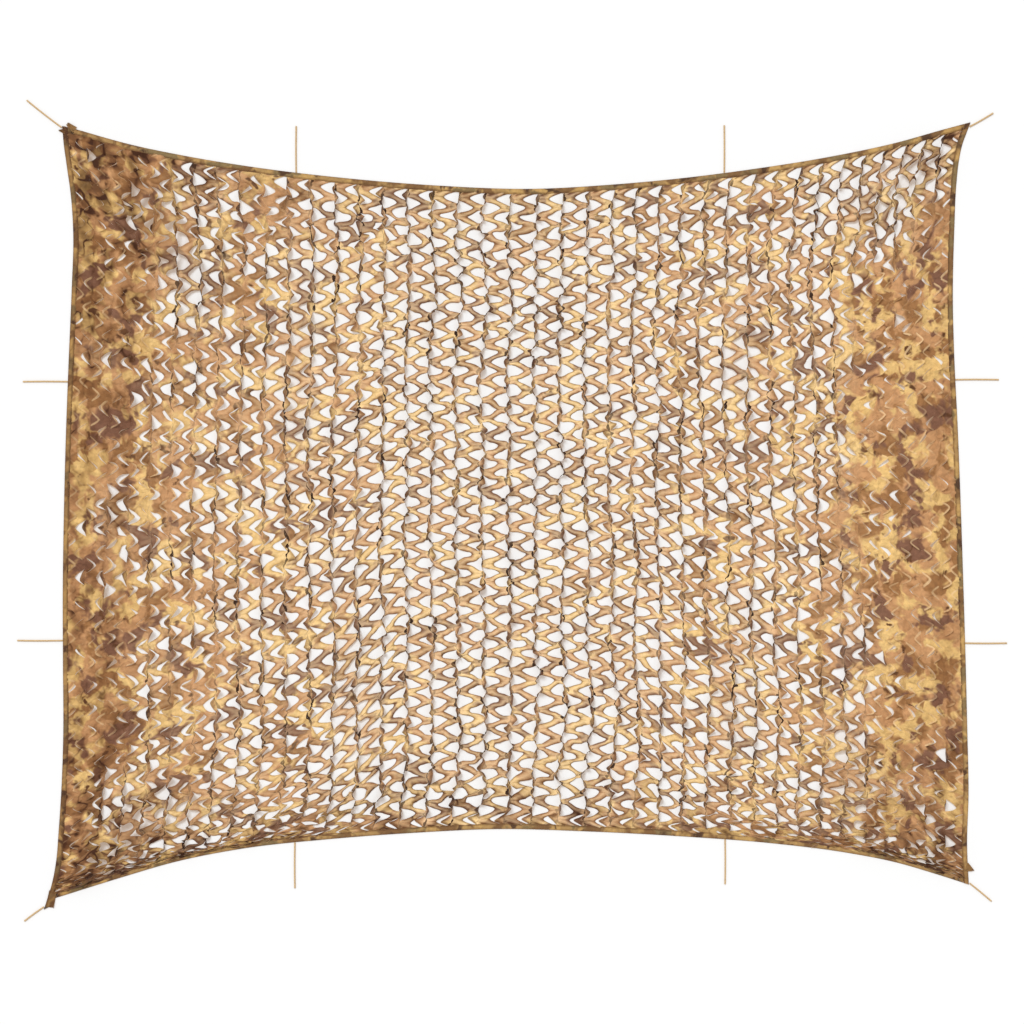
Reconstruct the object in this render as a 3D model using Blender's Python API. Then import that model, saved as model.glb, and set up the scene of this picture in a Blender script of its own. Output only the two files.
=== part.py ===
"""Camouflage netting: a sheet of slit cloth with four bound edges and twelve tie cords.

The net lies spread out on a flat surface, as far as its ties have pulled it. Lengths are in
metres and +Z is up. The origin is the centre of the cloth's box, on the surface it lies on.
Twelve of the widest openings are cut. The rest of the slits are left out of the solid.
"""
import math

import bpy
import numpy as np

# Cloth, binding and cord sizes.
CLOTH_THICKNESS = 0.002
GAP = 0.0003
BINDING_WIDTH = 0.024
BINDING_LAYER = 0.0012
BINDING_FOLD = 0.004
BINDING_BEVEL = 0.0008
CORD_DIAMETER = 0.007
CORD_POINT_STEP = 0.0165
CORD_RESOLUTION = 2

# The four corners of the bound edge, measured from the middle of the spread.
CORNERS = {
    "top_left": (-2.006, 1.722),
    "top_right": (2.0445, 1.738),
    "bottom_right": (2.037, -1.661),
    "bottom_left": (-2.075, -1.733),
}

# Each edge runs clockwise from corner to corner. It is pulled in from the straight line between
# them: each row is (share of the edge's length, distance pulled in).
EDGES = {
    "top": ("top_left", "top_right", (
        (0.00, 0.000), (0.02, 0.021), (0.04, 0.045), (0.07, 0.079), (0.13, 0.132), (0.21, 0.187),
        (0.30, 0.233), (0.41, 0.272), (0.52, 0.289), (0.60, 0.273), (0.68, 0.245), (0.76, 0.205),
        (0.84, 0.155), (0.92, 0.088), (0.97, 0.032), (1.00, 0.000))),
    "right": ("top_right", "bottom_right", (
        (0.00, 0.000), (0.01, 0.0125), (0.03, 0.037), (0.05, 0.051), (0.08, 0.062), (0.14, 0.071),
        (0.23, 0.077), (0.30, 0.071), (0.40, 0.054), (0.50, 0.040), (0.60, 0.028), (0.70, 0.017),
        (0.80, 0.008), (0.88, 0.002), (0.95, 0.008), (1.00, 0.000))),
    "bottom": ("bottom_right", "bottom_left", (
        (0.00, 0.000), (0.03, 0.042), (0.08, 0.106), (0.13, 0.150), (0.21, 0.198), (0.31, 0.237),
        (0.41, 0.266), (0.51, 0.284), (0.60, 0.274), (0.69, 0.253), (0.79, 0.215), (0.86, 0.163),
        (0.92, 0.096), (0.96, 0.048), (0.98, 0.0235), (1.00, 0.000))),
    "left": ("bottom_left", "top_left", (
        (0.00, 0.000), (0.02, 0.020), (0.05, 0.038), (0.09, 0.047), (0.14, 0.055), (0.21, 0.059),
        (0.31, 0.051), (0.40, 0.044), (0.50, 0.042), (0.60, 0.044), (0.70, 0.050), (0.79, 0.057),
        (0.86, 0.059), (0.91, 0.045), (0.95, 0.023), (0.98, 0.007), (1.00, 0.000))),
}

# At each corner one strip runs over the other and is cut off in line with that strip's outer edge.
# Rows: the strip that runs over, and how far its cut end stands out past the line.
CORNER_STRIPS = {
    "top_left": ("left", 0.000),
    "top_right": ("top", 0.000),
    "bottom_right": ("right", 0.000),
    "bottom_left": ("left", 0.030),
}
# The strips that each strip meets, at its first corner and at its last one.
NEIGHBOURS = {"top": ("left", "right"), "right": ("top", "bottom"),
              "bottom": ("right", "left"), "left": ("bottom", "top")}

# The cloth is cut in columns and rows of slits. Stretching opens the middle columns most:
# each row is (column number, share of the net's width).
COLUMNS = 39
ROWS = 35
COLUMN_SHARES = ((0, 0.000), (4, 0.093), (10, 0.246), (16, 0.409), (22, 0.583), (27, 0.715),
                 (32, 0.842), (39, 1.000))

# The columns and rows of the openings that are cut, with the opening's own size.
OPENING_COLUMNS = (15, 18, 21, 24)
OPENING_ROWS = (10, 17, 25)
OPENING_DEPTH = 0.066
OPENING_HEIGHT = 0.056
OPENING_ROUNDING = 0.008
OPENING_SETBACK = 0.004
CUTTER_LOW = -0.010
CUTTER_HIGH = 0.050

# Grid lines of the cloth, as shares of its width and height. The first three lines on each side
# are its edge inside the binding, the line just clear of the binding, and the foot of the slope.
GRID_MARGIN_ACROSS = (0.0014, 0.0074, 0.026)
GRID_MARGIN_UP = (0.0020, 0.0104, 0.034)
GRID_ACROSS = 27
GRID_UP = 21

# Soft folds that stand up from the surface. Columns: centre x, centre y, heading in degrees,
# half length, half width, height.
FOLDS = (
    (-1.76, 1.47, -48, 0.42, 0.085, 0.050),
    (-1.55, 1.22, -70, 0.45, 0.080, 0.030),
    (1.78, 1.50, -140, 0.36, 0.080, 0.036),
    (1.80, -1.38, 132, 0.38, 0.085, 0.040),
    (1.52, -1.28, 105, 0.34, 0.080, 0.028),
    (-1.80, -1.48, 50, 0.38, 0.085, 0.042),
    (-1.52, -1.36, 22, 0.34, 0.075, 0.026),
    (-1.80, 0.42, 88, 0.55, 0.090, 0.024),
    (-1.79, -0.62, 94, 0.50, 0.085, 0.022),
    (1.78, 0.62, 92, 0.55, 0.090, 0.028),
    (1.83, -0.46, 86, 0.60, 0.090, 0.027),
    (1.50, 0.05, 90, 1.05, 0.070, 0.020),
    (-0.95, 0.55, 84, 0.60, 0.110, 0.017),
    (-0.70, -0.80, 96, 0.45, 0.110, 0.017),
    (1.02, 0.75, 92, 0.40, 0.110, 0.018),
    (0.98, -0.75, 88, 0.45, 0.110, 0.017),
)
FOLD_DEAD_HEIGHT = 0.005

# The ties. Columns: name, edge, share of the edge where the tie leaves it, heading in degrees
# (0 is +X and 90 is +Y), length, and how far its middle strays to one side. A share below nought
# is on the end of a strip that stands out past its corner.
TIES = (
    ("tie_corner_top_left", "left", 0.9972, 142.0, 0.198, 0.0015),
    ("tie_corner_top_right", "right", 0.0066, 30.0, 0.122, -0.001),
    ("tie_corner_bottom_right", "right", 0.9975, -39.5, 0.128, 0.001),
    ("tie_corner_bottom_left", "left", -0.0072, -144.0, 0.108, -0.001),
    ("tie_top_1", "top", 0.2577, 90.0, 0.207, 0.002),
    ("tie_top_2", "top", 0.7285, 90.0, 0.212, -0.0015),
    ("tie_right_1", "right", 0.3380, 0.0, 0.193, 0.0015),
    ("tie_right_2", "right", 0.6831, 0.0, 0.186, -0.002),
    ("tie_bottom_1", "bottom", 0.2636, -90.0, 0.200, 0.0015),
    ("tie_bottom_2", "bottom", 0.7296, -90.0, 0.204, -0.002),
    ("tie_left_1", "left", 0.3358, 180.0, 0.203, -0.0015),
    ("tie_left_2", "left", 0.6704, 180.0, 0.200, 0.002),
)


def clear_scene():
    """Remove every object of the open file."""
    for thing in list(bpy.data.objects):
        bpy.data.objects.remove(thing, do_unlink=True)


def smooth_table(rows, share):
    """Read a table of (share, value) rows with a smooth curve through them."""
    places = [row[0] for row in rows]
    values = [row[1] for row in rows]
    slopes = list(np.gradient(values, places))
    index = min(max(int(np.searchsorted(places, share)) - 1, 0), len(rows) - 2)
    span = places[index + 1] - places[index]
    t = (share - places[index]) / span
    start = (2 * t ** 3 - 3 * t ** 2 + 1) * values[index]
    leaving = (t ** 3 - 2 * t ** 2 + t) * span * slopes[index]
    end = (3 * t ** 2 - 2 * t ** 3) * values[index + 1]
    arriving = (t ** 3 - t ** 2) * span * slopes[index + 1]
    return start + leaving + end + arriving


def edge_point(name, share):
    """Give the outermost point of a bound edge at a share of its length."""
    first, last, rows = EDGES[name]
    start = np.array(CORNERS[first])
    along = np.array(CORNERS[last]) - start
    inward = np.array((along[1], -along[0])) / np.linalg.norm(along)
    return start + along * share + inward * smooth_table(rows, share)


def edge_heading(name, share):
    """Give the unit vector along a bound edge, and the one that points into the cloth."""
    step = 0.002
    along = edge_point(name, min(share + step, 1.0)) - edge_point(name, max(share - step, 0.0))
    along = along / np.linalg.norm(along)
    return along, np.array((along[1], -along[0]))


def spread(across, up):
    """Map shares of the width and height to a place between the four pulled-in edges."""
    top = edge_point("top", across)
    bottom = edge_point("bottom", 1.0 - across)
    left = edge_point("left", up)
    right = edge_point("right", 1.0 - up)
    corners = ((1 - up) * ((1 - across) * np.array(CORNERS["bottom_left"])
                           + across * np.array(CORNERS["bottom_right"]))
               + up * ((1 - across) * np.array(CORNERS["top_left"])
                       + across * np.array(CORNERS["top_right"])))
    return (1 - up) * bottom + up * top + (1 - across) * left + across * right - corners


def fold_height(place):
    """Give how far the folds lift the cloth at a place; most of it lies flat at nought."""
    total = 0.0
    for centre_x, centre_y, heading, half_length, half_width, height in FOLDS:
        turn = math.radians(heading)
        east = place[0] - centre_x
        north = place[1] - centre_y
        along = (east * math.cos(turn) + north * math.sin(turn)) / half_length
        aside = (north * math.cos(turn) - east * math.sin(turn)) / half_width
        total += height * math.exp(-along ** 2 - aside ** 2)
    return max(0.0, total - FOLD_DEAD_HEIGHT)


def fabric(name, colour, roughness):
    """Make a plain cloth material."""
    material = bpy.data.materials.new(name)
    material.use_nodes = True
    shader = material.node_tree.nodes["Principled BSDF"]
    shader.inputs["Base Color"].default_value = (*colour, 1.0)
    shader.inputs["Roughness"].default_value = roughness
    shader.inputs["Metallic"].default_value = 0.0
    return material


def add_mesh(name, vertices, faces, material):
    """Add a mesh object with one material."""
    mesh = bpy.data.meshes.new(name)
    mesh.from_pydata([tuple(map(float, vertex)) for vertex in vertices], [], faces)
    mesh.validate()
    mesh.materials.append(material)
    thing = bpy.data.objects.new(name, mesh)
    bpy.context.collection.objects.link(thing)
    return thing


def ring_faces(stations, sides):
    """List the faces of a tube of stations, each a ring of points, with both ends filled."""
    faces = []
    for station in range(stations - 1):
        for side in range(sides):
            here = station * sides + side
            after = station * sides + (side + 1) % sides
            faces.append((here, here + sides, after + sides, after))
    faces.append(tuple(range(sides)))
    faces.append(tuple(reversed(range((stations - 1) * sides, stations * sides))))
    return faces


def opening_outline(column, row):
    """Give the rounded triangle of one opening: its flat side is on the column line."""
    base = spread(smooth_table(COLUMN_SHARES, column), row / ROWS)
    base = base + np.array((OPENING_SETBACK, 0.0))
    corners = [base + np.array((0.0, -OPENING_HEIGHT / 2)),
               base + np.array((OPENING_DEPTH, 0.0)),
               base + np.array((0.0, OPENING_HEIGHT / 2))]
    outline = []
    for index, corner in enumerate(corners):
        before = corners[index - 1] - corner
        after = corners[(index + 1) % 3] - corner
        start = corner + before / np.linalg.norm(before) * OPENING_ROUNDING
        end = corner + after / np.linalg.norm(after) * OPENING_ROUNDING
        middle = (start + end) / 4 + corner / 2
        outline += [start, middle, end]
    return outline


def make_cutter(column, row):
    """Make the prism that cuts one opening through the cloth."""
    outline = opening_outline(column, row)
    sides = len(outline)
    vertices = [(*point, CUTTER_LOW) for point in outline]
    vertices += [(*point, CUTTER_HIGH) for point in outline]
    faces = [tuple(reversed(range(sides))), tuple(range(sides, 2 * sides))]
    for side in range(sides):
        after = (side + 1) % sides
        faces.append((side, after, after + sides, side + sides))
    cutter = add_mesh(f"cutter_{column}_{row}", vertices, faces, fabric("cutter", (1, 0, 0), 0.9))
    cutter.hide_render = True
    cutter.display_type = "WIRE"
    return cutter


def grid_lines(margin, count):
    """Give the shares of a set of grid lines: three close together at each end."""
    inner = list(np.linspace(margin[-1], 1 - margin[-1], count))
    outer = [1 - share for share in reversed(margin[:-1])]
    return list(margin[:-1]) + inner + outer


def make_panel(material):
    """Make the slit cloth as one thin sheet that lies on the surface, with its folds."""
    across_lines = grid_lines(GRID_MARGIN_ACROSS, GRID_ACROSS)
    up_lines = grid_lines(GRID_MARGIN_UP, GRID_UP)
    bound_across = (GRID_MARGIN_ACROSS[1], 1 - GRID_MARGIN_ACROSS[1])
    bound_up = (GRID_MARGIN_UP[1], 1 - GRID_MARGIN_UP[1])
    wide = len(across_lines)
    tall = len(up_lines)
    under = []
    for up in up_lines:
        for across in across_lines:
            place = spread(across, up)
            in_binding = not (bound_across[0] < across < bound_across[1]
                              and bound_up[0] < up < bound_up[1])
            lift = BINDING_LAYER + GAP if in_binding else fold_height(place)
            under.append((place[0], place[1], lift))
    over = [(x, y, z + CLOTH_THICKNESS) for x, y, z in under]
    faces = []
    top = wide * tall
    for line in range(tall - 1):
        for cell in range(wide - 1):
            corner = line * wide + cell
            for half in ((corner, corner + 1, corner + wide + 1),
                         (corner, corner + wide + 1, corner + wide)):
                faces.append(tuple(reversed(half)))
                faces.append(tuple(index + top for index in half))
    rim = ([cell for cell in range(wide - 1)]
           + [line * wide + wide - 1 for line in range(tall - 1)]
           + [wide * tall - 1 - cell for cell in range(wide - 1)]
           + [(tall - 1 - line) * wide for line in range(tall - 1)])
    for index, here in enumerate(rim):
        after = rim[(index + 1) % len(rim)]
        faces.append((here, after, after + top, here + top))
    panel = add_mesh("net_panel", under + over, faces, material)
    for column in OPENING_COLUMNS:
        for row in OPENING_ROWS:
            cut = panel.modifiers.new(f"opening_{column}_{row}", "BOOLEAN")
            cut.operation = "DIFFERENCE"
            cut.solver = "EXACT"
            cut.object = make_cutter(column, row)
    return panel


def binding_section():
    """Give the folded strip's section, as (distance in from the edge, height) points."""
    slot_low = BINDING_LAYER
    slot_high = BINDING_LAYER + CLOTH_THICKNESS + 2 * GAP
    high = slot_high + BINDING_LAYER
    return [(BINDING_BEVEL, 0.0), (BINDING_WIDTH, 0.0), (BINDING_WIDTH, slot_low),
            (BINDING_FOLD, slot_low), (BINDING_FOLD, slot_high), (BINDING_WIDTH, slot_high),
            (BINDING_WIDTH, high), (BINDING_BEVEL, high), (0.0, high - BINDING_BEVEL),
            (0.0, BINDING_BEVEL)]


def strip_shares(name):
    """Give the places along an edge where its strip has a section: at the cloth's grid lines."""
    if name in ("left", "right"):
        lines = grid_lines(GRID_MARGIN_UP, GRID_UP)
    else:
        lines = grid_lines(GRID_MARGIN_ACROSS, GRID_ACROSS)
    skipped = [1 if CORNER_STRIPS[corner][0] == name else 2 for corner in EDGES[name][:2]]
    return [0.0] + lines[skipped[0]:-skipped[1]] + [1.0]


def end_face(name, at_start):
    """Give the plane that cuts a strip's end, as a point in it and its normal."""
    corner = EDGES[name][0 if at_start else 1]
    neighbour = NEIGHBOURS[name][0 if at_start else 1]
    runs_over, stands_out = CORNER_STRIPS[corner]
    depth, shift = (0.0, -stands_out) if runs_over == name else (BINDING_WIDTH, GAP)
    ends = strip_shares(neighbour)[-2:] if at_start else strip_shares(neighbour)[:2]
    line = [edge_point(neighbour, share) + edge_heading(neighbour, share)[1] * depth
            for share in ends]
    along = (line[1] - line[0]) / np.linalg.norm(line[1] - line[0])
    inward = np.array((along[1], -along[0]))
    return line[0] + inward * shift, inward


def trim(spots, next_spots, face):
    """Slide a strip's end points along it until they lie in the plane that cuts its end."""
    point, normal = face
    moved = []
    for (spot, height), (next_spot, _) in zip(spots, next_spots):
        ahead = (next_spot - spot) / np.linalg.norm(next_spot - spot)
        off = float(np.dot(point - spot, normal)) / float(np.dot(ahead, normal))
        moved.append((spot + ahead * off, height))
    return moved


def make_binding(name, material):
    """Sweep the folded section along one edge and cut its ends at the corners."""
    section = binding_section()
    stations = []
    for share in strip_shares(name):
        along, inward = edge_heading(name, share)
        point = edge_point(name, share)
        stations.append([(point + inward * depth, height) for depth, height in section])
    stations[0] = trim(stations[0], stations[1], end_face(name, True))
    stations[-1] = trim(stations[-1], stations[-2], end_face(name, False))
    vertices = [(*spot, z) for station in stations for spot, z in station]
    return add_mesh(f"binding_{name}", vertices, ring_faces(len(stations), len(section)), material)


def tie_start(edge, share, heading):
    """Give where a tie's first end lies: a gap away from the strip that holds it."""
    outward = np.array((math.cos(heading), math.sin(heading)))
    shares = strip_shares(edge)
    station = min(max(int(np.searchsorted(shares, share)), 1), len(shares) - 1)
    first = edge_point(edge, shares[station - 1])
    last = edge_point(edge, shares[station])
    place = first + (last - first) * (share - shares[station - 1]) / (
        shares[station] - shares[station - 1])
    along = (last - first) / np.linalg.norm(last - first)
    square = abs(float(np.dot(outward, (along[1], -along[0]))))
    slope = abs(float(np.dot(outward, along))) / square
    return place + outward * (GAP / square + CORD_DIAMETER / 2 * slope)


def make_tie(name, edge, share, degrees, length, bow, material):
    """Make one tie as a round cord that lies on the surface, nearly straight."""
    heading = math.radians(degrees)
    ahead = np.array((math.cos(heading), math.sin(heading)))
    aside = np.array((-ahead[1], ahead[0]))
    start = tie_start(edge, share, heading)
    count = int(length / CORD_POINT_STEP) + 1
    curve = bpy.data.curves.new(name, "CURVE")
    curve.dimensions = "3D"
    curve.bevel_depth = CORD_DIAMETER / 2
    curve.bevel_resolution = CORD_RESOLUTION
    curve.use_fill_caps = True
    spline = curve.splines.new("POLY")
    spline.points.add(count - 1)
    for index, t in enumerate(np.linspace(0.0, 1.0, count)):
        spot = start + ahead * length * t + aside * bow * math.sin(math.pi * t)
        spline.points[index].co = (spot[0], spot[1], CORD_DIAMETER / 2, 1.0)
    curve.materials.append(material)
    tie = bpy.data.objects.new(name, curve)
    bpy.context.collection.objects.link(tie)
    return tie


def centre_on_origin(things, measured):
    """Move all the pieces together, so that the cloth's box is centred over the origin."""
    bpy.context.view_layer.update()
    corners = [np.array(thing.matrix_world @ vertex.co)
               for thing in measured for vertex in thing.data.vertices]
    middle = (np.min(corners, axis=0) + np.max(corners, axis=0)) / 2
    for thing in things:
        thing.location = (-middle[0], -middle[1], 0.0)


def main():
    """Build the net, its bindings and its ties."""
    clear_scene()
    cloth = fabric("camouflage_cloth", (0.47, 0.31, 0.15), 0.85)
    strip_cloth = fabric("binding_cloth", (0.36, 0.25, 0.12), 0.85)
    cord = fabric("tie_cord", (0.62, 0.45, 0.27), 0.8)
    strips = [make_binding(name, strip_cloth) for name in EDGES]
    make_panel(cloth)
    for row in TIES:
        make_tie(*row, cord)
    centre_on_origin(list(bpy.data.objects), strips)


main()
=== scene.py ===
# %% [markdown]
# # Camouflage netting
# This script finishes a model of a 4 by 3 metre camouflage net. The net is one printed cloth, cut
# in columns of curved slits and pulled open, with a folded strip sewn round its edge and twelve
# cords to tie it up with. The imported model gives the pieces their places, so it is loaded first.

# %% Load the imported model
import math

import bmesh
import bpy
import numpy as np
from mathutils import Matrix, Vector


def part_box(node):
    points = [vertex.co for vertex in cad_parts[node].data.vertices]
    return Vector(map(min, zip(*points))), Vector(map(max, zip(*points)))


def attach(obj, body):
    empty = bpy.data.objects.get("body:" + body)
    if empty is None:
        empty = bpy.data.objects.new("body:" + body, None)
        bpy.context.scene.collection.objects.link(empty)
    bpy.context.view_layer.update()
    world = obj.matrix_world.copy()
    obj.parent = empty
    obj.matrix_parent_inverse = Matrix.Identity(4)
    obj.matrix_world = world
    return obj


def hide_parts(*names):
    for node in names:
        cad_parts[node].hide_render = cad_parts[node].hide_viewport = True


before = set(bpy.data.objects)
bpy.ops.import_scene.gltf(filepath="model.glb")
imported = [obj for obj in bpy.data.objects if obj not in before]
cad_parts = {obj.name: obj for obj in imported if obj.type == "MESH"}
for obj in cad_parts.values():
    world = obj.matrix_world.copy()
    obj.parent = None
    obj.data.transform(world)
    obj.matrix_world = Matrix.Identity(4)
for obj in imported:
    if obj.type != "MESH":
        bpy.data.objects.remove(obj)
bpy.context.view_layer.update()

bpy.ops.object.select_all(action="DESELECT")
print("model nodes:", len(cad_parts))

# %% [markdown]
# ## The camera
# The net lies on a flat surface and is seen from straight above. A long lens far away keeps the
# parts that stand up from leaning outwards at the edges. The lens is worked out for a square render
# 1024 pixels wide, in which one pixel covers 4.46 mm of the surface.

# %% Camera over the net
RENDER_SIDE = 1024
PIXEL = 0.00446
CAMERA_HEIGHT = 18.0
LAYOUT_SHIFT = np.array((0.020873, 0.014917))

camera_data = bpy.data.cameras.new("camera")
camera = bpy.data.objects.new("camera", camera_data)
bpy.context.collection.objects.link(camera)
camera.location = (LAYOUT_SHIFT[0], LAYOUT_SHIFT[1], CAMERA_HEIGHT)
camera_data.lens = camera_data.sensor_width * CAMERA_HEIGHT / (RENDER_SIDE * PIXEL)
camera_data.clip_end = 100.0
bpy.context.scene.camera = camera
print("lens:", round(camera_data.lens, 1), "mm")

# %% [markdown]
# ## The ties
# Twelve short cords hold the net up, one at each corner and two on each edge. Each is a cord of
# three twisted strands, cut off plain at its free end. On the real net they are pulled straight, so
# each follows a line with only a slight bow. A smooth tube with a bump could show the twist, but it
# would not show on the outline, so three thin tubes are wound round the line. A tie's two ends are
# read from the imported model's box.

# %% Tie sizes
TIE_DIAMETER = 0.007
TIE_STRANDS = 3
STRAND_OFFSET = 0.0018
STRAND_RADIUS = 0.0021
STRAND_SIDES = 7
STRAND_PITCH = 0.020
STRAND_END_SHARE = 0.75
TIE_STATIONS = 90
# Columns: the heading in degrees away from the net, and the sideways bow in metres.
TIE_LINES = {
    "tie_corner_top_left": (142.0, 0.0015), "tie_corner_top_right": (30.0, -0.001),
    "tie_corner_bottom_right": (-39.5, 0.001), "tie_corner_bottom_left": (-144.0, -0.001),
    "tie_top_1": (90.0, 0.001), "tie_top_2": (90.0, -0.001),
    "tie_right_1": (0.0, 0.001), "tie_right_2": (0.0, -0.001),
    "tie_bottom_1": (-90.0, 0.001), "tie_bottom_2": (-90.0, -0.001),
    "tie_left_1": (180.0, 0.001), "tie_left_2": (180.0, -0.001),
}
print("ties:", len(TIE_LINES))


# %% Mesh helpers
def mesh_object(name, points, faces, uv=None):
    """Make a smooth mesh object from arrays, with a flat cloth plane as its UV map."""
    mesh = bpy.data.meshes.new(name)
    mesh.from_pydata(np.asarray(points, float).tolist(), [], [tuple(face) for face in faces])
    if uv is not None:
        corners = np.zeros(len(mesh.loops), np.int32)
        mesh.loops.foreach_get("vertex_index", corners)
        uv_map = mesh.uv_layers.new(name="cloth_plane")
        uv_map.data.foreach_set("uv", np.asarray(uv, float)[corners].reshape(-1))
    mesh.shade_smooth()
    thing = bpy.data.objects.new(name, mesh)
    bpy.context.collection.objects.link(thing)
    return thing


def grid_faces(rows, columns, around=False):
    """List the four-sided faces of a grid of points, closed round its columns if asked."""
    last = columns if around else columns - 1
    return [(r * columns + c, r * columns + (c + 1) % columns,
             (r + 1) * columns + (c + 1) % columns, (r + 1) * columns + c)
            for r in range(rows - 1) for c in range(last)]


print("faces round one strand:", len(grid_faces(TIE_STATIONS, STRAND_SIDES, around=True)))


# %% Follow a tie
def tie_path(name):
    """Give points along a tie's middle, and its heading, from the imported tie's box."""
    heading, bow = TIE_LINES[name]
    ahead = np.array((math.cos(math.radians(heading)), math.sin(math.radians(heading))))
    low, high = (np.array(corner)[:2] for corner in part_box(name))
    radius = TIE_DIAMETER / 2
    inset = np.sign(ahead) * radius * np.abs(ahead[::-1])
    start = np.where(ahead > 0, low, high) + inset
    end = np.where(ahead > 0, high, low) - inset
    middle = (low + high) / 2
    across = np.abs(ahead) < 0.01
    start, end = np.where(across, middle, start), np.where(across, middle, end)
    share = np.linspace(0, 1, TIE_STATIONS)[:, None]
    aside = np.array((-ahead[1], ahead[0]))
    flat = start + (end - start) * share + aside * bow * np.sin(math.pi * share)
    return np.column_stack((flat, np.full(TIE_STATIONS, radius))), ahead


print("the first top tie starts at:", tie_path("tie_top_1")[0][0].round(3))


# %% Wind strands round a line
def wind_strands(path, ahead, length):
    """Wind the strands round a tie's middle line. The second list that goes with the points is
    the cloth plane: the way along the strand and the way round it."""
    aside = np.array((-ahead[1], ahead[0], 0.0))
    upward = np.array((0.0, 0.0, 1.0))
    sides = np.linspace(0, 2 * math.pi, STRAND_SIDES, endpoint=False)
    ring = STRAND_RADIUS * (np.cos(sides)[:, None] * aside + np.sin(sides)[:, None] * upward)
    far = np.linspace(0, length, TIE_STATIONS)
    points, faces, uv = [], [], []
    for strand in range(TIE_STRANDS):
        turn = 2 * math.pi * (far / STRAND_PITCH + strand / TIE_STRANDS)
        core = path + STRAND_OFFSET * (np.cos(turn)[:, None] * aside
                                       + np.sin(turn)[:, None] * upward)
        tube = core[:, None, :] + ring[None]
        for end in (0, -1):
            tube[end] = core[end] + ring * STRAND_END_SHARE
        base = len(points)
        last_ring = base + (TIE_STATIONS - 1) * STRAND_SIDES
        points.extend(tube.reshape(-1, 3))
        faces += (np.array(grid_faces(TIE_STATIONS, STRAND_SIDES, around=True)) + base).tolist()
        faces.append(list(range(base, base + STRAND_SIDES))[::-1])
        faces.append(list(range(last_ring, last_ring + STRAND_SIDES)))
        uv.extend(np.column_stack((np.repeat(far, STRAND_SIDES),
                                   np.tile(sides * STRAND_RADIUS, TIE_STATIONS))))
    points = np.array(points)
    points[:, 2] = np.maximum(points[:, 2], 0.0)
    return points, faces, uv


print("turns to a metre of tie:", round(1 / STRAND_PITCH))

# %% Wind the ties
ties = []
for tie_name in TIE_LINES:
    path, ahead = tie_path(tie_name)
    length = float(np.linalg.norm(np.diff(path, axis=0), axis=1).sum())
    cord = mesh_object(tie_name + "_cord", *wind_strands(path, ahead, length))
    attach(cord, "root")
    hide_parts(tie_name)
    ties.append(cord)
    print(tie_name, "length", round(length, 3), "faces", len(cord.data.polygons))

# %% [markdown]
# ## The outline
# Four curved edges bound the net. Pulling on the ties draws each edge in between its corners, most
# in the middle of the long sides. Each edge is a short table of how far it is drawn in, read with
# a smooth curve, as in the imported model, so that cloth and strips lie where the solids are.

# %% Corners and edges
CORNERS = {
    "top_left": (-2.006, 1.722),
    "top_right": (2.0445, 1.738),
    "bottom_right": (2.037, -1.661),
    "bottom_left": (-2.075, -1.733),
}

# Each edge runs clockwise from corner to corner. It is pulled in from the straight line between
# them: each row is (share of the edge's length, distance pulled in).
EDGES = {
    "top": ("top_left", "top_right", (
        (0.00, 0.000), (0.02, 0.021), (0.04, 0.045), (0.07, 0.079), (0.13, 0.132), (0.21, 0.187),
        (0.30, 0.233), (0.41, 0.272), (0.52, 0.289), (0.60, 0.273), (0.68, 0.245), (0.76, 0.205),
        (0.84, 0.155), (0.92, 0.088), (0.97, 0.032), (1.00, 0.000))),
    "right": ("top_right", "bottom_right", (
        (0.00, 0.000), (0.01, 0.0125), (0.03, 0.037), (0.05, 0.051), (0.08, 0.062), (0.14, 0.071),
        (0.23, 0.077), (0.30, 0.071), (0.40, 0.054), (0.50, 0.040), (0.60, 0.028), (0.70, 0.017),
        (0.80, 0.008), (0.88, 0.002), (0.95, 0.008), (1.00, 0.000))),
    "bottom": ("bottom_right", "bottom_left", (
        (0.00, 0.000), (0.03, 0.042), (0.08, 0.106), (0.13, 0.150), (0.21, 0.198), (0.31, 0.237),
        (0.41, 0.266), (0.51, 0.284), (0.60, 0.274), (0.69, 0.253), (0.79, 0.215), (0.86, 0.163),
        (0.92, 0.096), (0.96, 0.048), (0.98, 0.0235), (1.00, 0.000))),
    "left": ("bottom_left", "top_left", (
        (0.00, 0.000), (0.02, 0.020), (0.05, 0.038), (0.09, 0.047), (0.14, 0.055), (0.21, 0.059),
        (0.31, 0.051), (0.40, 0.044), (0.50, 0.042), (0.60, 0.044), (0.70, 0.050), (0.79, 0.057),
        (0.86, 0.059), (0.91, 0.045), (0.95, 0.023), (0.98, 0.007), (1.00, 0.000))),
}
print("edges:", len(EDGES))


# %% Read the edge tables
def smooth_table(rows, share):
    """Read a table of (place, value) rows with a smooth curve through them."""
    places, values = np.array(rows, float).T
    slopes = np.gradient(values, places)
    index = np.clip(np.searchsorted(places, share) - 1, 0, len(rows) - 2)
    span = places[index + 1] - places[index]
    t = (share - places[index]) / span
    start = (2 * t ** 3 - 3 * t ** 2 + 1) * values[index]
    leaving = (t ** 3 - 2 * t ** 2 + t) * span * slopes[index]
    end = (3 * t ** 2 - 2 * t ** 3) * values[index + 1]
    arriving = (t ** 3 - t ** 2) * span * slopes[index + 1]
    return start + leaving + end + arriving


def edge_point(name, share):
    """Give points on the outer edge at shares of its length."""
    first, last, rows = EDGES[name]
    start = np.array(CORNERS[first]) + LAYOUT_SHIFT
    along = np.array(CORNERS[last]) - np.array(CORNERS[first])
    inward = np.array((along[1], -along[0])) / np.linalg.norm(along)
    share = np.asarray(share, float)[..., None]
    return start + along * share + inward * smooth_table(rows, share)


print("middle of the top edge:", edge_point("top", 0.5).round(3))


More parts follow.
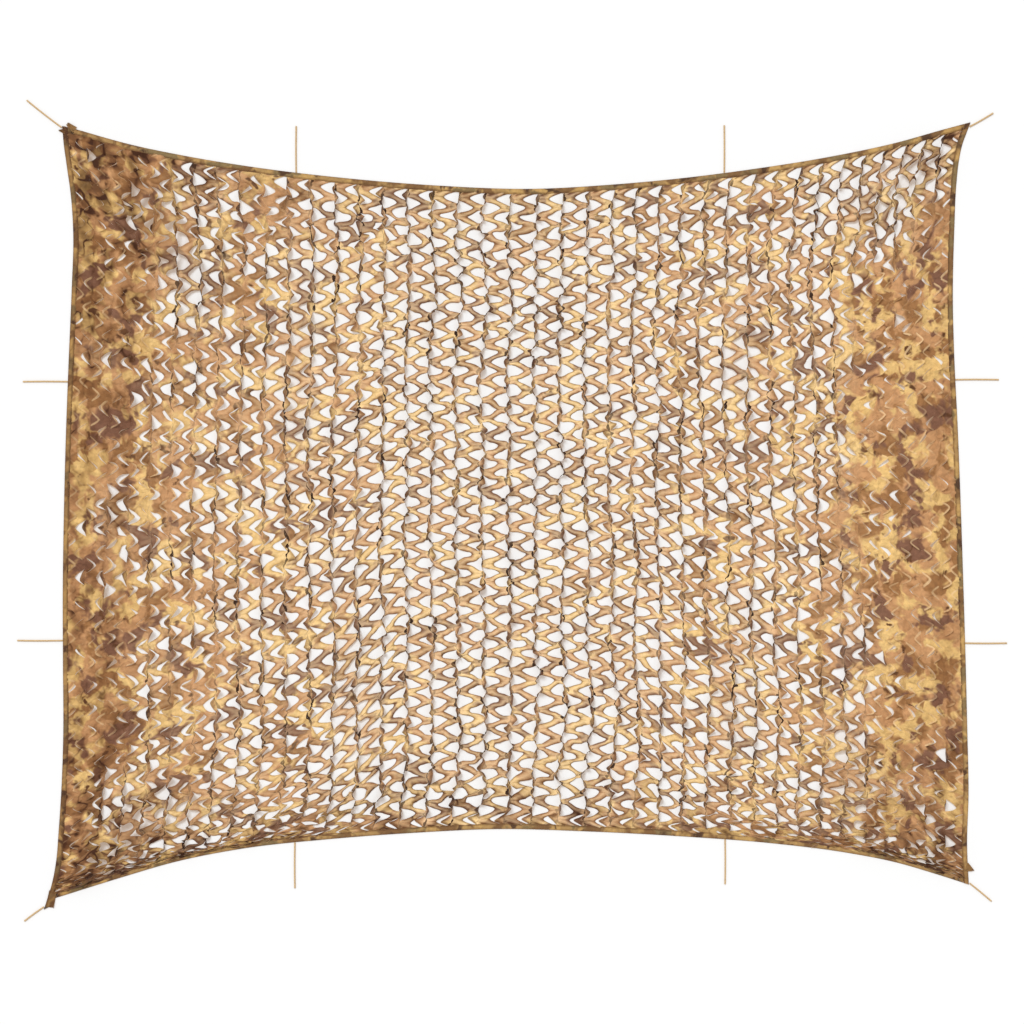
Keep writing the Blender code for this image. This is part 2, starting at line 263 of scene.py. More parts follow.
# %% Fill in between the edges
def spread(across, up):
    """Map shares of the width and height to places between the four edges."""
    across, up = np.broadcast_arrays(across, up)
    a, b = across[..., None], up[..., None]
    corner = {name: np.array(place) + LAYOUT_SHIFT for name, place in CORNERS.items()}
    corners = ((1 - b) * ((1 - a) * corner["bottom_left"] + a * corner["bottom_right"])
               + b * ((1 - a) * corner["top_left"] + a * corner["top_right"]))
    return ((1 - b) * edge_point("bottom", 1 - across) + b * edge_point("top", across)
            + (1 - a) * edge_point("left", up) + a * edge_point("right", 1 - up) - corners)


print("middle of the net:", spread(0.5, 0.5).round(3))

# %% [markdown]
# ## Unevenness
# Cloth is never quite regular. Wherever something here wanders a little, the wandering is a sum of
# a few sine waves with chance headings. It is smooth, so neighbours move together, and its seed is
# given, so each run makes the same net.


# %% Smooth chance
def waves(places, length, seed, count=7):
    """Give smooth random waves at places, about one high, with the given wave length."""
    source = np.random.default_rng(seed)
    total = np.zeros(len(places))
    for _ in range(count):
        turn = source.uniform(0, 2 * math.pi)
        stretch = source.uniform(0.7, 1.5)
        heading = np.array((math.cos(turn), math.sin(turn))) * 2 * math.pi / (length * stretch)
        total += np.sin(places @ heading + source.uniform(0, 2 * math.pi))
    return total / math.sqrt(count / 2) / 1.4


def smooth_step(share):
    """Ease a share in and out: nought and one stay, and the way between them is smooth."""
    return share * share * (3 - 2 * share)


print("a wave every 50 mm:", waves(np.linspace((0, 0), (0.2, 0), 5), 0.3, 1).round(1))

# %% [markdown]
# ## The folds
# The cloth lies flat in the middle, and soft folds stand up where the ties gather it, near the
# corners and along the sides. A cloth simulation could raise folds too, but it wasn't tried here,
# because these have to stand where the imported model's folds stand. So each fold is a soft ridge at
# a given place, their heights are added up, and the fine shape is laid on them.

# %% Fold heights
# Columns: centre x, centre y, heading in degrees, half length, half width, height.
FOLDS = (
    (-1.76, 1.47, -48, 0.42, 0.085, 0.050),
    (-1.55, 1.22, -70, 0.45, 0.080, 0.030),
    (1.78, 1.50, -140, 0.36, 0.080, 0.036),
    (1.80, -1.38, 132, 0.38, 0.085, 0.040),
    (1.52, -1.28, 105, 0.34, 0.080, 0.028),
    (-1.80, -1.48, 50, 0.38, 0.085, 0.042),
    (-1.52, -1.36, 22, 0.34, 0.075, 0.026),
    (-1.80, 0.42, 88, 0.55, 0.090, 0.024),
    (-1.79, -0.62, 94, 0.50, 0.085, 0.022),
    (1.78, 0.62, 92, 0.55, 0.090, 0.028),
    (1.83, -0.46, 86, 0.60, 0.090, 0.027),
    (1.50, 0.05, 90, 1.05, 0.070, 0.020),
    (-0.95, 0.55, 84, 0.60, 0.110, 0.017),
    (-0.70, -0.80, 96, 0.45, 0.110, 0.017),
    (1.02, 0.75, 92, 0.40, 0.110, 0.018),
    (0.98, -0.75, 88, 0.45, 0.110, 0.017),
)
FOLD_DEAD_HEIGHT = 0.005


def fold_height(place):
    """Give how far the folds lift the cloth at places in the layout."""
    east_all, north_all = (place - LAYOUT_SHIFT).T
    total = np.zeros(len(place))
    for centre_x, centre_y, heading, half_length, half_width, height in FOLDS:
        turn = math.radians(heading)
        east, north = east_all - centre_x, north_all - centre_y
        along = (east * math.cos(turn) + north * math.sin(turn)) / half_length
        aside = (north * math.cos(turn) - east * math.sin(turn)) / half_width
        total += height * np.exp(-along ** 2 - aside ** 2)
    return np.maximum(0.0, total - FOLD_DEAD_HEIGHT)


print("highest fold:", max(row[-1] for row in FOLDS))

# %% Pleats at the corners
# Gathered pleats run into the corners: how high, how far they reach, how many to a radian.
CORNER_PLEATS = {"top_left": (0.020, 0.75, 9.0), "bottom_left": (0.014, 0.50, 8.0),
                 "bottom_right": (0.016, 0.60, 9.0), "top_right": (0.006, 0.45, 8.0)}
PLEAT_WANDER, PLEAT_WAVE_LENGTH, PLEAT_SEED = 1.3, 0.35, 61
PLEATS_START = 0.25


def corner_rays(place, corner_name, count):
    """Give the distance from a corner, and an angle that makes half a turn for each pleat."""
    away = place - (np.array(CORNERS[corner_name]) + LAYOUT_SHIFT)
    heading = np.arctan2(away[:, 1], away[:, 0])
    wander = PLEAT_WANDER * waves(place, PLEAT_WAVE_LENGTH, PLEAT_SEED)
    return np.linalg.norm(away, axis=1), heading * count + wander


def pleats(place):
    """Give how far the gathered pleats lift the cloth near the corners."""
    total = np.zeros(len(place))
    for name, (height, reach, count) in CORNER_PLEATS.items():
        far, ray = corner_rays(place, name, count)
        ridge = (1 - np.abs(np.sin(ray))) ** 1.5
        total += height * ridge * np.clip(far / PLEATS_START, 0, 1) * np.exp(-(far / reach) ** 2)
    return total


print("pleats near the top left corner:", pleats(spread(0.1, 0.9)[None]).round(4))

# %% [markdown]
# ## The cutting pattern
# On the real net a machine cuts the flat cloth in columns of curved slits. To the right of each
# column line the slits point right, to its left they point left, and the two sets are half a row
# apart. What is left between two columns is one ribbon that runs in a zigzag, and inside each slit
# is a tongue, or flap, that hangs on the column line. One cell of this pattern is drawn here as
# triangles in cloth units (columns and rows) and then repeated. The points on a slit are doubled,
# once for the ribbon and once for the flap, so that the two can part.

# %% Pattern sizes
COLUMNS, ROWS = 39, 35
COLUMN_PITCH, ROW_PITCH = 0.089, 0.0987
SLIT_DEPTH = 0.0490 / COLUMN_PITCH
SLIT_HALF = 0.345
SLIT_ROUNDNESS = 1.55
NECK_HALF = 0.5 - SLIT_HALF
STEPS = 6
RIBBON, RIGHT_FLAP, LEFT_FLAP = 0, 1, 2


def slit_depth(t):
    """Give the slit's depth in columns at t, from -1 to 1 over its height."""
    return SLIT_DEPTH * (1 - abs(t) ** SLIT_ROUNDNESS)


print("slits:", COLUMNS * (2 * ROWS - 1))


# %% Points and triangles of the cloth
class Pattern:
    """Points and triangles of the flat cloth. A point is (column, row, layer, and where it lies
    on its flap or across its ribbon)."""

    def __init__(self):
        self.points = []
        self.faces = []

    def add(self, column, row, layer=RIBBON, spine=0.0, centre=0.0, depth=0.0, t=0.0,
            toward=(0, 0)):
        """Add a point and give its number."""
        self.points.append((column, row, layer, spine, centre, depth, t, *toward))
        return len(self.points) - 1

    def triangle(self, *corners):
        """Add a triangle that faces up."""
        a, b, c = (np.array(self.points[corner][:2]) for corner in corners)
        (ux, uy), (vx, vy) = b - a, c - a
        self.faces.append(corners if ux * vy - uy * vx > 0 else corners[::-1])


trial = Pattern()
trial.add(0.0, 0.0)
print("values kept for each point:", len(trial.points[0]))


# %% Draw a flap
def add_flap(pattern, side, spine, centre):
    """Add one flap: rows of points from the column line to its tip."""
    layer = RIGHT_FLAP if side > 0 else LEFT_FLAP
    levels = []
    for level in range(STEPS + 1):
        q = level / STEPS
        row_points = []
        for step in range(STEPS - level + 1):
            t = (2 * step - (STEPS - level)) / STEPS
            depth = slit_depth(t) * q / (1 - abs(t)) if level else 0.0
            row_points.append(pattern.add(
                spine + side * depth, centre + t * SLIT_HALF, layer if level else RIBBON,
                spine, centre, depth * COLUMN_PITCH, t))
        levels.append(row_points)
    for low, high in zip(levels, levels[1:]):
        for step in range(len(high)):
            pattern.triangle(low[step], low[step + 1], high[step])
            if step + 1 < len(high):
                pattern.triangle(low[step + 1], high[step + 1], high[step])


trial = Pattern()
add_flap(trial, 1, 0.0, 0.0)
print("triangles in a flap:", len(trial.faces))


# %% Draw an arm of the ribbon
def add_arm(pattern, right_centre, left_centre, rising):
    """Add one arm of the ribbon, between a slit that points right and one that points left."""
    lines = []
    for step in range(STEPS + 1):
        t = step / STEPS
        right_t, left_t = (t - 1, t) if rising else (t, t - 1)
        right = (slit_depth(right_t), right_centre + right_t * SLIT_HALF)
        left = (1 - slit_depth(left_t), left_centre + left_t * SLIT_HALF)
        middle = ((right[0] + left[0]) / 2, (right[1] + left[1]) / 2)
        ends = []
        for place, tip_t in ((right, right_t), (left, left_t)):
            pull = (middle[0] - place[0], middle[1] - place[1] if tip_t else 0.0)
            ends.append(pattern.add(*place, toward=pull))
        lines.append((ends[0], pattern.add(*middle), ends[1]))
    for low, high in zip(lines, lines[1:]):
        for side in (0, 1):
            pattern.triangle(low[side], low[side + 1], high[side])
            pattern.triangle(low[side + 1], high[side + 1], high[side])
    return lines


trial = Pattern()
add_arm(trial, 0.0, 0.5, rising=False)
print("triangles in an arm:", len(trial.faces))


# %% Join the arms
def add_neck(pattern, column, row, below, above, end):
    """Draw the neck that joins arms at a column line. Each arm gives the line of its last points,
    and end says which of them lies on the column line."""
    for line, way in ((below, -1), (above, 1)):
        if line is None:
            continue
        steps = [pattern.add(column, row + way * share) for share in (0.0, NECK_HALF / 2)]
        steps.append(line[end])
        for here, after in zip(steps, steps[1:]):
            pattern.triangle(line[1], here, after)
        pattern.triangle(line[2 - end], line[1], steps[0])


def add_cell(with_right_flap):
    """Draw one cell: two arms, their necks and the two flaps."""
    cell = Pattern()
    if with_right_flap:
        add_flap(cell, 1, 0.0, 0.0)
    add_flap(cell, -1, 1.0, 0.5)
    falling = add_arm(cell, 0.0, 0.5, rising=False)
    rising = add_arm(cell, 1.0, 0.5, rising=True)
    add_neck(cell, 0.0, 0.5, falling[-1], rising[0], 0)
    add_neck(cell, 1.0, 0.0, None, falling[0], 2)
    add_neck(cell, 1.0, 1.0, rising[-1], None, 2)
    return cell


print("triangles in a cell:", len(add_cell(True).faces))


# %% Fill in beside the hems
def add_edge_filler(row, inward):
    """Draw the uncut cloth between the hem and the first arms, at the lowest or highest row."""
    filler = Pattern()
    middle = filler.add(SLIT_DEPTH / 2, row)
    rim = [(0.0, row + inward * share * SLIT_HALF) for share in (0, 1 / 3, 2 / 3)]
    rim += [(slit_depth(t), row + inward * t * SLIT_HALF) for t in np.linspace(1, 0, STEPS + 1)]
    numbers = [filler.add(*place) for place in rim]
    for here, after in zip(numbers, numbers[1:]):
        filler.triangle(middle, here, after)
    return filler


print("triangles in a filler:", len(add_edge_filler(0.0, 1).faces))


# %% Repeat the cell
def repeat(pattern, starts):
    """Copy a pattern to each start, given as (column, row), and list its points and faces."""
    points = np.array(pattern.points, float)
    faces = np.array(pattern.faces)
    moved = np.repeat(points[None], len(starts), axis=0)
    shift = np.array(starts, float)[:, None, :]
    moved[:, :, 0:2] += shift
    moved[:, :, 3:5] += shift
    numbers = np.arange(len(starts))[:, None, None] * len(points)
    return moved.reshape(-1, points.shape[1]), (faces[None] + numbers).reshape(-1, 3)


def whole_pattern():
    """Put the whole cloth together and merge the points that neighbours share."""
    blocks = [
        repeat(add_cell(True), [(k, j) for k in range(COLUMNS) for j in range(1, ROWS)]),
        repeat(add_cell(False), [(k, 0) for k in range(COLUMNS)]),
        repeat(add_edge_filler(0.0, 1), [(k, 0) for k in range(COLUMNS)]),
        repeat(add_edge_filler(0.0, -1), [(k, ROWS) for k in range(COLUMNS)]),
    ]
    points, faces, count = [], [], 0
    for block_points, block_faces in blocks:
        points.append(block_points)
        faces.append(block_faces + count)
        count += len(block_points)
    points, faces = np.concatenate(points), np.concatenate(faces)
    keys = np.round(points[:, :3] * 10000).astype(np.int64)
    _, first, merged = np.unique(keys, axis=0, return_index=True, return_inverse=True)
    return points[first], merged.reshape(-1)[faces]


cloth_points, cloth_faces = whole_pattern()
print("cloth points:", len(cloth_points), "triangles:", len(cloth_faces))

# %% [markdown]
# ## Pulling the cloth open
# The ties stretch the cloth sideways. The middle columns open most, and the ones beside the hems
# stay nearly closed. Pulled necks draw each column line into a small zigzag, the ribbons narrow and
# arch, and the whole net wanders a little from a straight grid. Each of these is one small smooth
# movement of the flat pattern, so they are added up point by point.

# %% How far the cloth is pulled open
# How far each column is pulled open: nought is closed and one is fully open.
OPENED = ((0, 0.00), (2, 0.05), (3.2, 0.11), (4.0, 0.24), (5, 0.32), (8, 0.41), (12, 0.60),
          (16, 0.88), (22, 0.94), (24, 0.70), (27, 0.56), (30, 0.53), (32, 0.42), (33.5, 0.29),
          (34.6, 0.13), (36, 0.05), (39, 0.00))
# Places that are more or less open than their column: column, row, their reach, and how much.
OPENED_PLACES = (
    (36.0, 35.2, 4.4, 3.8, 1.25),
    (0.0, 35.0, 3.0, 3.0, -0.30),
    (4.2, 31.8, 2.4, 3.6, 0.13),
    (3.2, 5.2, 2.2, 2.4, 0.32),
    (36.5, 5.0, 2.8, 3.6, 0.18),
    (19.0, 0.0, 16.0, 1.2, -0.12),
    (19.0, 34.6, 16.0, 2.6, -0.12),
    (1.4, 25.5, 0.9, 0.7, 0.45),
    (2.0, 18.5, 1.1, 1.6, 0.34),
    (24.4, 25.0, 0.8, 0.8, 0.40),
)
# Away from the middle columns the rows lie wider apart, and the rest is gathered at the bottom hem.
# First how far a column has this, from nought to one; then how open the gathered rows are.
ROWS_WIDENED = ((0, 0.85), (5, 1.0), (9, 1.0), (12, 0.66), (14.7, 0.0), (24.2, 0.0), (27, 0.45),
                (31, 0.85), (35, 0.95), (39, 0.95))
GATHERED_SHUT = ((0, 0.0), (1.6, 0.1), (2.6, 0.85), (3.2, 1.0), (35, 1.0))
OPENED_CHANCE = 0.14
MOST_OPEN = 1.25
print("most open column:", max(OPENED, key=lambda place: place[1])[0])


# %% Read how open the cloth is
def in_metres(column, row):
    """Give cloth points in metres on the flat cloth."""
    return np.stack((column * COLUMN_PITCH, row * ROW_PITCH), axis=-1)


def read_table(rows, place):
    """Read a table of (place, value) rows with straight lines between them."""
    return np.interp(place, *np.array(rows).T)


def with_patches(total, patches, column, row):
    """Add soft round patches to a value. Each has a column, a row, its reach in both, and how
    much it adds at its middle."""
    for at_column, at_row, reach_column, reach_row, amount in patches:
        far = ((column - at_column) / reach_column) ** 2 + ((row - at_row) / reach_row) ** 2
        total = total + amount * np.exp(-far)
    return total


def how_open(column, row):
    """Give how far the cloth is pulled open, from nought to a little over one."""
    total = with_patches(smooth_table(OPENED, column), OPENED_PLACES, column, row)
    chance = OPENED_CHANCE * waves(in_metres(column, row), 0.32, 41)
    total = total + chance * np.clip(total * 4, 0, 1)
    widened = read_table(ROWS_WIDENED, column)
    total = total * (1 - widened * (1 - read_table(GATHERED_SHUT, row)))
    return np.clip(total, 0, MOST_OPEN)


print("open in the middle:", how_open(np.array((19.5,)), np.array((17.5,))).round(2))

# %% How the rows are spread
# How tall the rows are where they are widened, from row to row.
ROW_HEIGHTS = ((0, 0.20), (2.2, 0.18), (3.0, 0.72), (6, 0.88), (10, 1.07), (15, 1.15), (28, 1.15),
               (33, 1.07), (35, 1.00))
ROW_STEPS = np.linspace(0, ROWS, 701)
ROW_PLACES = np.concatenate(([0], np.cumsum(
    read_table(ROW_HEIGHTS, (ROW_STEPS[1:] + ROW_STEPS[:-1]) / 2))))
ROW_PLACES /= ROW_PLACES[-1]


def row_share(column, row):
    """Give the share of the height at which a row lies, at a column."""
    widened = read_table(ROWS_WIDENED, column)
    gathered = np.interp(row, ROW_STEPS, ROW_PLACES)
    return np.clip((1 - widened) * row / ROWS + widened * gathered, 0, 1)


print("row 10 at columns 7 and 19:", row_share(np.array((7.0, 19.0)), 10.0).round(3))

# %% Ruffled places
# Here the cloth is less even and more flaps are pulled upright. Columns: column, row, their reach,
# and how strongly.
RUFFLED_PLACES = (
    (4.6, 31.8, 2.6, 3.6, 0.14),
    (3.6, 5.2, 2.6, 2.6, 0.18),
    (36.4, 4.5, 2.8, 3.6, 0.18),
    (35.8, 33.0, 4.0, 4.5, 0.30),
    (2.0, 18.0, 1.2, 2.0, 0.25),
    (19.0, 34.0, 14.0, 2.4, 0.30),
    (19.0, 1.4, 14.0, 1.8, 0.34),
)


def ruffled(column, row):
    """Give how strongly the cloth is ruffled."""
    return with_patches(np.zeros(np.shape(column)), RUFFLED_PLACES, column, row)


def from_hems(column, row):
    """Give how many columns or rows a point lies away from the nearest hem."""
    return np.minimum(np.minimum(column, COLUMNS - column), np.minimum(row, ROWS - row))


def from_column_line(column):
    """Give how far a point lies from the nearest column line, in columns."""
    return np.abs(column - np.round(column))


print("ruffled beside the bottom hem:", ruffled(19.0, 1.4).round(2))

# %% Where the cloth comes to lie
COLUMN_SHARES = ((0, 0.000), (4, 0.093), (10, 0.246), (16, 0.409), (22, 0.583), (27, 0.715),
                 (32, 0.842), (39, 1.000))
EDGE_INSET = 0.0022
RUFFLE_WANDER = 0.020
RUFFLED_WAVE = 2
ZIGZAG = 0.0095
# How the cloth wanders from its grid, sideways and then up: how far, wave length and seed of each
# wave. The wave with the number RUFFLED_WAVE grows where the cloth is ruffled.
WANDER = (
    ((0.0070, 0.60, 11), (0.0030, 0.13, 12), (0.0034, 0.055, 15), (0.0013, 0.030, 17)),
    ((0.0050, 0.75, 13), (0.0030, 0.15, 14), (0.0034, 0.060, 16), (0.0013, 0.030, 18)),
)
HELD_BY_HEM = 3.0


def lay(column, row):
    """Give the places of cloth points on the surface, before the flaps move."""
    across = EDGE_INSET + (1 - 2 * EDGE_INSET) * smooth_table(COLUMN_SHARES, column)
    up = EDGE_INSET + (1 - 2 * EDGE_INSET) * row_share(column, row)
    place = spread(across, up)
    inside = smooth_step(np.clip(from_hems(column, row) / HELD_BY_HEM, 0, 1))
    pull = np.cos(math.pi * np.clip(from_column_line(column) * 2, 0, 1)) * 0.5 + 0.5
    place[:, 0] -= ZIGZAG * how_open(column, row) * pull * np.cos(2 * math.pi * row) * inside
    flat = in_metres(column, row)
    uneven = RUFFLE_WANDER * ruffled(column, row)
    for axis, rows in enumerate(WANDER):
        moved = np.zeros(len(place))
        for number, (far, wave_length, seed) in enumerate(rows):
            grown = uneven if number == RUFFLED_WAVE else 0.0
            moved += (far + grown) * waves(flat, wave_length, seed)
        place[:, axis] += inside * moved
    return place


print("column 19, row 17 lies at:", lay(np.array((19.0,)), np.array((17.0,))).round(3))

# %% Lay the ribbons
CLOTH_BOTTOM = 0.0018
# How much narrower a ribbon is where it is open and where it is pulled furthest, and how much
# wider where it is closed.
NARROWED = 0.065
NARROWED_MORE = 0.45
WIDENED = 0.10

column, row, layer, spine, centre, depth, t_side, pull_column, pull_row = cloth_points.T
flat_place = in_metres(column, row)
opened = how_open(column, row)
from_line = from_column_line(column)
body = np.sin(math.pi * np.clip(from_line * 2, 0, 1) / 2)
closed = np.clip(1 - opened * 2.5, 0, 1)
narrowing = (NARROWED * np.minimum(opened, 1) + NARROWED_MORE * np.maximum(opened - 1, 0)
             - WIDENED * closed) * body
ribbon_place = lay(column + pull_column * 2 * narrowing, row + pull_row * 2 * narrowing)
print("ribbons narrowed by up to:", round(float(narrowing.max()), 3))

# %% Raise the ribbons
# The net's nominal size, and the strip beside the hems where folds have no height.
NET_WIDTH, NET_HEIGHT = 4.0, 3.2
FLAT_BESIDE_HEM = 0.026
FOLDS_RISE_WITHIN = 0.075
RIBBON_ARCH = 0.0075
RUMPLE, RUMPLE_OPEN, RUMPLE_FINE, CURLING = 0.0070, 0.002, 0.0035, 0.003
FREE_WITHIN = 0.6


def rise_from_hem(column, row):
    """Give nought inside the hem and one well away from it, where the folds stand full height."""
    across, up = column / COLUMNS * NET_WIDTH, row / ROWS * NET_HEIGHT
    nearest = np.minimum(np.minimum(across, NET_WIDTH - across), np.minimum(up, NET_HEIGHT - up))
    return smooth_step(np.clip((nearest - FLAT_BESIDE_HEM) / FOLDS_RISE_WITHIN, 0, 1))


def cloth_base(place, column, row):
    """Give the height of the flat cloth at places, on the folds and pleats."""
    return CLOTH_BOTTOM + (fold_height(place) + pleats(place)) * rise_from_hem(column, row)


is_middle = (layer == RIBBON) & (np.hypot(pull_column, pull_row) < 1e-9)
free = np.clip(from_hems(column, row) / FREE_WITHIN, 0, 1)
rumple = (0.5 + 0.5 * waves(flat_place, 0.11, 21)) * (RUMPLE * closed + RUMPLE_OPEN)
rumple = rumple + RUMPLE_FINE * closed * np.abs(waves(flat_place, 0.045, 23))
curling = CURLING * waves(flat_place, 0.05, 22) * opened
arch = RIBBON_ARCH * (0.25 + 0.75 * opened) * body * is_middle
ribbon_height = (cloth_base(ribbon_place, column, row)
                 + free * np.maximum(0, arch + rumple + curling))
print("ribbon heights up to", round(float(ribbon_height.max()), 4))

# %% [markdown]
# ## The flaps
# A slit sets its flap free on three sides. Where the cloth is pulled open, the column line that
# holds the flap buckles, and the flap swings up and curls, until it stands on edge. Seen from above
# an upright flap is only a thin dark line, and a half raised one leaves a white chevron round its
# tip. So each flap turns about its column line by an angle that grows with the stretch, and chance
# adds the rest.

# %% How each flap turns
# How open the cloth is, and the usual angle of its flaps in degrees.
FLAP_ANGLES = ((0.00, 16), (0.10, 20), (0.22, 29), (0.36, 37), (0.50, 43), (0.70, 52), (0.85, 62),
               (1.00, 72), (1.25, 84))
# How open the cloth is, and the share of its flaps that stand upright.
FLAP_UPRIGHT = ((0.00, 0.00), (0.12, 0.01), (0.35, 0.14), (0.60, 0.34), (0.90, 0.62), (1.00, 0.72),
                (1.25, 0.85))
# The angles of upright flaps, the limits for all, and how far chance takes a flap from the usual.
UPRIGHT_ANGLES = (56, 94)
LEAST_TURN, MOST_TURN = 3.0, 114
FLAP_CHANCE = 8
FLAP_NEIGHBOURS_ALIKE = 7

flap_random = np.random.default_rng(5)
is_flap = layer != RIBBON
side = np.where(layer == RIGHT_FLAP, 1.0, -1.0)
flap_code = np.where(is_flap, np.round(spine * 10000 + centre * 20 + layer * 3), -1)
_, first_of_flap, flap_number = np.unique(flap_code, return_index=True, return_inverse=True)
flap_number = flap_number.reshape(-1)
flap_spine, flap_centre = spine[first_of_flap], centre[first_of_flap]
flap_count = len(first_of_flap)
flap_open = how_open(flap_spine + side[first_of_flap] * 0.3, flap_centre)
flap_turn = smooth_table(FLAP_ANGLES, flap_open)
turn_chance = flap_random.normal(0, 1, flap_count)
flap_turn = flap_turn + turn_chance * (FLAP_CHANCE + FLAP_CHANCE * flap_open)
flap_turn = flap_turn + FLAP_NEIGHBOURS_ALIKE * flap_open * waves(
    in_metres(flap_spine, flap_centre), 0.45, 31)
upright_share = smooth_table(FLAP_UPRIGHT, flap_open) + ruffled(flap_spine, flap_centre)
upright = flap_random.random(flap_count) < upright_share
flap_turn = np.where(upright, flap_random.uniform(*UPRIGHT_ANGLES, flap_count), flap_turn)
# The flaps that touch a side hem or the bottom hem are held down by it.
held_down = (flap_spine < 0.5) | (flap_spine > COLUMNS - 0.5) | (flap_centre < 0.8)
flap_turn = np.where(held_down, LEAST_TURN, flap_turn)
flap_turn = np.radians(np.clip(flap_turn, LEAST_TURN, MOST_TURN))
print("flaps:", flap_count - 1, "upright:", int(upright.sum()))

# %% How each flap bends
FLAP_CURL = (-3, 16)
LEAST_CURL = 0.05
FLAP_TWIST = 0.22
FLAP_LEAN = 0.16
FLAP_CUP = (0.20, 0.42)

flap_curl = flap_random.uniform(*FLAP_CURL, flap_count) * np.clip(flap_turn, 0.15, 1)
flap_curl = np.where(np.abs(flap_curl) < LEAST_CURL, LEAST_CURL, flap_curl)
flap_twist = flap_random.normal(0, FLAP_TWIST, flap_count) * np.clip(flap_turn, 0.1, 1)
flap_lean = flap_random.normal(0, FLAP_LEAN, flap_count)
flap_cup = flap_random.uniform(*FLAP_CUP, flap_count) * np.clip(flap_open * 3, 0, 1)
angle, curl, twist, lean, cup = (values[flap_number] for values in
                                 (flap_turn, flap_curl, flap_twist, flap_lean, flap_cup))
print("mean flap angle:", round(float(np.degrees(flap_turn).mean())), "degrees")

# %% Raise the flaps
# No flap stands higher than this, and those that come near it are lowered smoothly.
HIGHEST = 0.056
ROUNDED_OFF = 0.01
CUPPED_WITHIN = 0.030
FLAP_RUMPLE = 0.004

hinge = lay(spine, centre + t_side * SLIT_HALF)
ahead = lay(spine + side * 0.5, centre) - lay(spine, centre)
ahead /= np.linalg.norm(ahead, axis=1)[:, None]
first_angle = angle + twist * t_side
out = (np.sin(first_angle + curl * depth) - np.sin(first_angle)) / curl
rise = (np.cos(first_angle) - np.cos(first_angle + curl * depth)) / curl
flap_place = hinge + ahead * out[:, None]
flap_place[:, 1] += lean * depth
from_hinge = np.clip(depth / CUPPED_WITHIN, 0, 1)
middle_line = lay(spine, centre)[:, 1] + lean * depth
flap_place[:, 1] += (middle_line - flap_place[:, 1]) * cup * from_hinge
flap_rumple = FLAP_RUMPLE * closed * np.abs(waves(flat_place, 0.045, 24)) * from_hinge
cupped_height = 0.25 * cup * np.abs(t_side) * SLIT_HALF * ROW_PITCH * from_hinge
flap_height = cloth_base(hinge, spine, centre) + np.abs(rise) + flap_rumple + cupped_height

place = np.where(is_flap[:, None], flap_place, ribbon_place)
height = np.where(is_flap, flap_height, ribbon_height)
rounded = HIGHEST - ROUNDED_OFF
height = np.where(height > rounded,
                  rounded + ROUNDED_OFF * np.tanh((height - HIGHEST + ROUNDED_OFF) / ROUNDED_OFF),
                  height)
print("net heights up to", round(float(height.max()), 4))

# %% [markdown]
# ## Painted shade and darker places
# The net's cut edges are painted darker than its face as painted shade, most on the lower edges,
# which face away from the light, and upright flaps are painted dark as the shade at their foot.
# The corners, the left side and the bands beside the hems are darker too. One number for each
# point says how dark it is there, and the print is darkened by it.

# %% Where the cloth is darker
# Columns: column, row, their reach, how much darker.
DARK_PLACES = (
    (0.0, 35.0, 6.5, 7.5, 0.30),
    (0.0, 0.0, 6.0, 7.5, 0.40),
    (8.0, 0.0, 9.0, 4.0, 0.20),
    (39.0, 0.0, 6.0, 7.5, 0.42),
    (39.0, 35.0, 3.0, 5.0, 0.10),
    (39.0, 35.0, 2.2, 2.0, 0.52),
    (0.0, 17.5, 3.6, 44.0, 0.28),
    (39.0, 17.5, 3.0, 44.0, 0.08),
    (19.5, 0.0, 40.0, 2.6, 0.25),
    (19.5, 35.0, 40.0, 2.2, 0.13),
)

# Sharp creases run into the corners, each a little beside a pleat, and painted shade darkens them:
# how dark it is.
CORNER_CREASE_SHADE = {"top_left": 0.65, "bottom_left": 0.50, "bottom_right": 0.50, "top_right": 0.25}
BESIDE_PLEAT = 0.5


def darker_places(column, row):
    """Give how much darker the cloth is at a point because of where it lies."""
    total = with_patches(np.zeros(len(column)), DARK_PLACES, column, row)
    flat = in_metres(column, row)
    return total * (1.0 + 0.6 * waves(flat, 0.16, 51) + 0.6 * waves(flat, 0.07, 52))


def painted_crease_shade(place):
    """Give the painted shade in the creases that run into the corners."""
    total = np.zeros(len(place))
    for name, strength in CORNER_CREASE_SHADE.items():
        _, reach, count = CORNER_PLEATS[name]
        far, ray = corner_rays(place, name, count)
        line = 1 - np.abs(np.sin(ray + BESIDE_PLEAT))
        total += strength * line ** 5 * np.exp(-(far / reach) ** 2)
    return total


print("places darker by", round(float(darker_places(column, row).mean()), 2), "on average")

# %% Darkness of each point
# Painted shade: the ribbons' cut edges are darkened, most the lower edges, which face away from the
# light. Every flap is darkened a little, and upright flaps much more, as the shade at their foot.
# Chance varies each flap's tone a little.
RIBBON_TOP_EDGE_SHADE, RIBBON_FOOT_EDGE_SHADE = 0.16, 0.40
FLAP_DARK, STANDING_FLAP_SHADE, FLAP_DARK_CHANCE = 0.04, 0.60, 0.08
MOST_DARK = 0.88

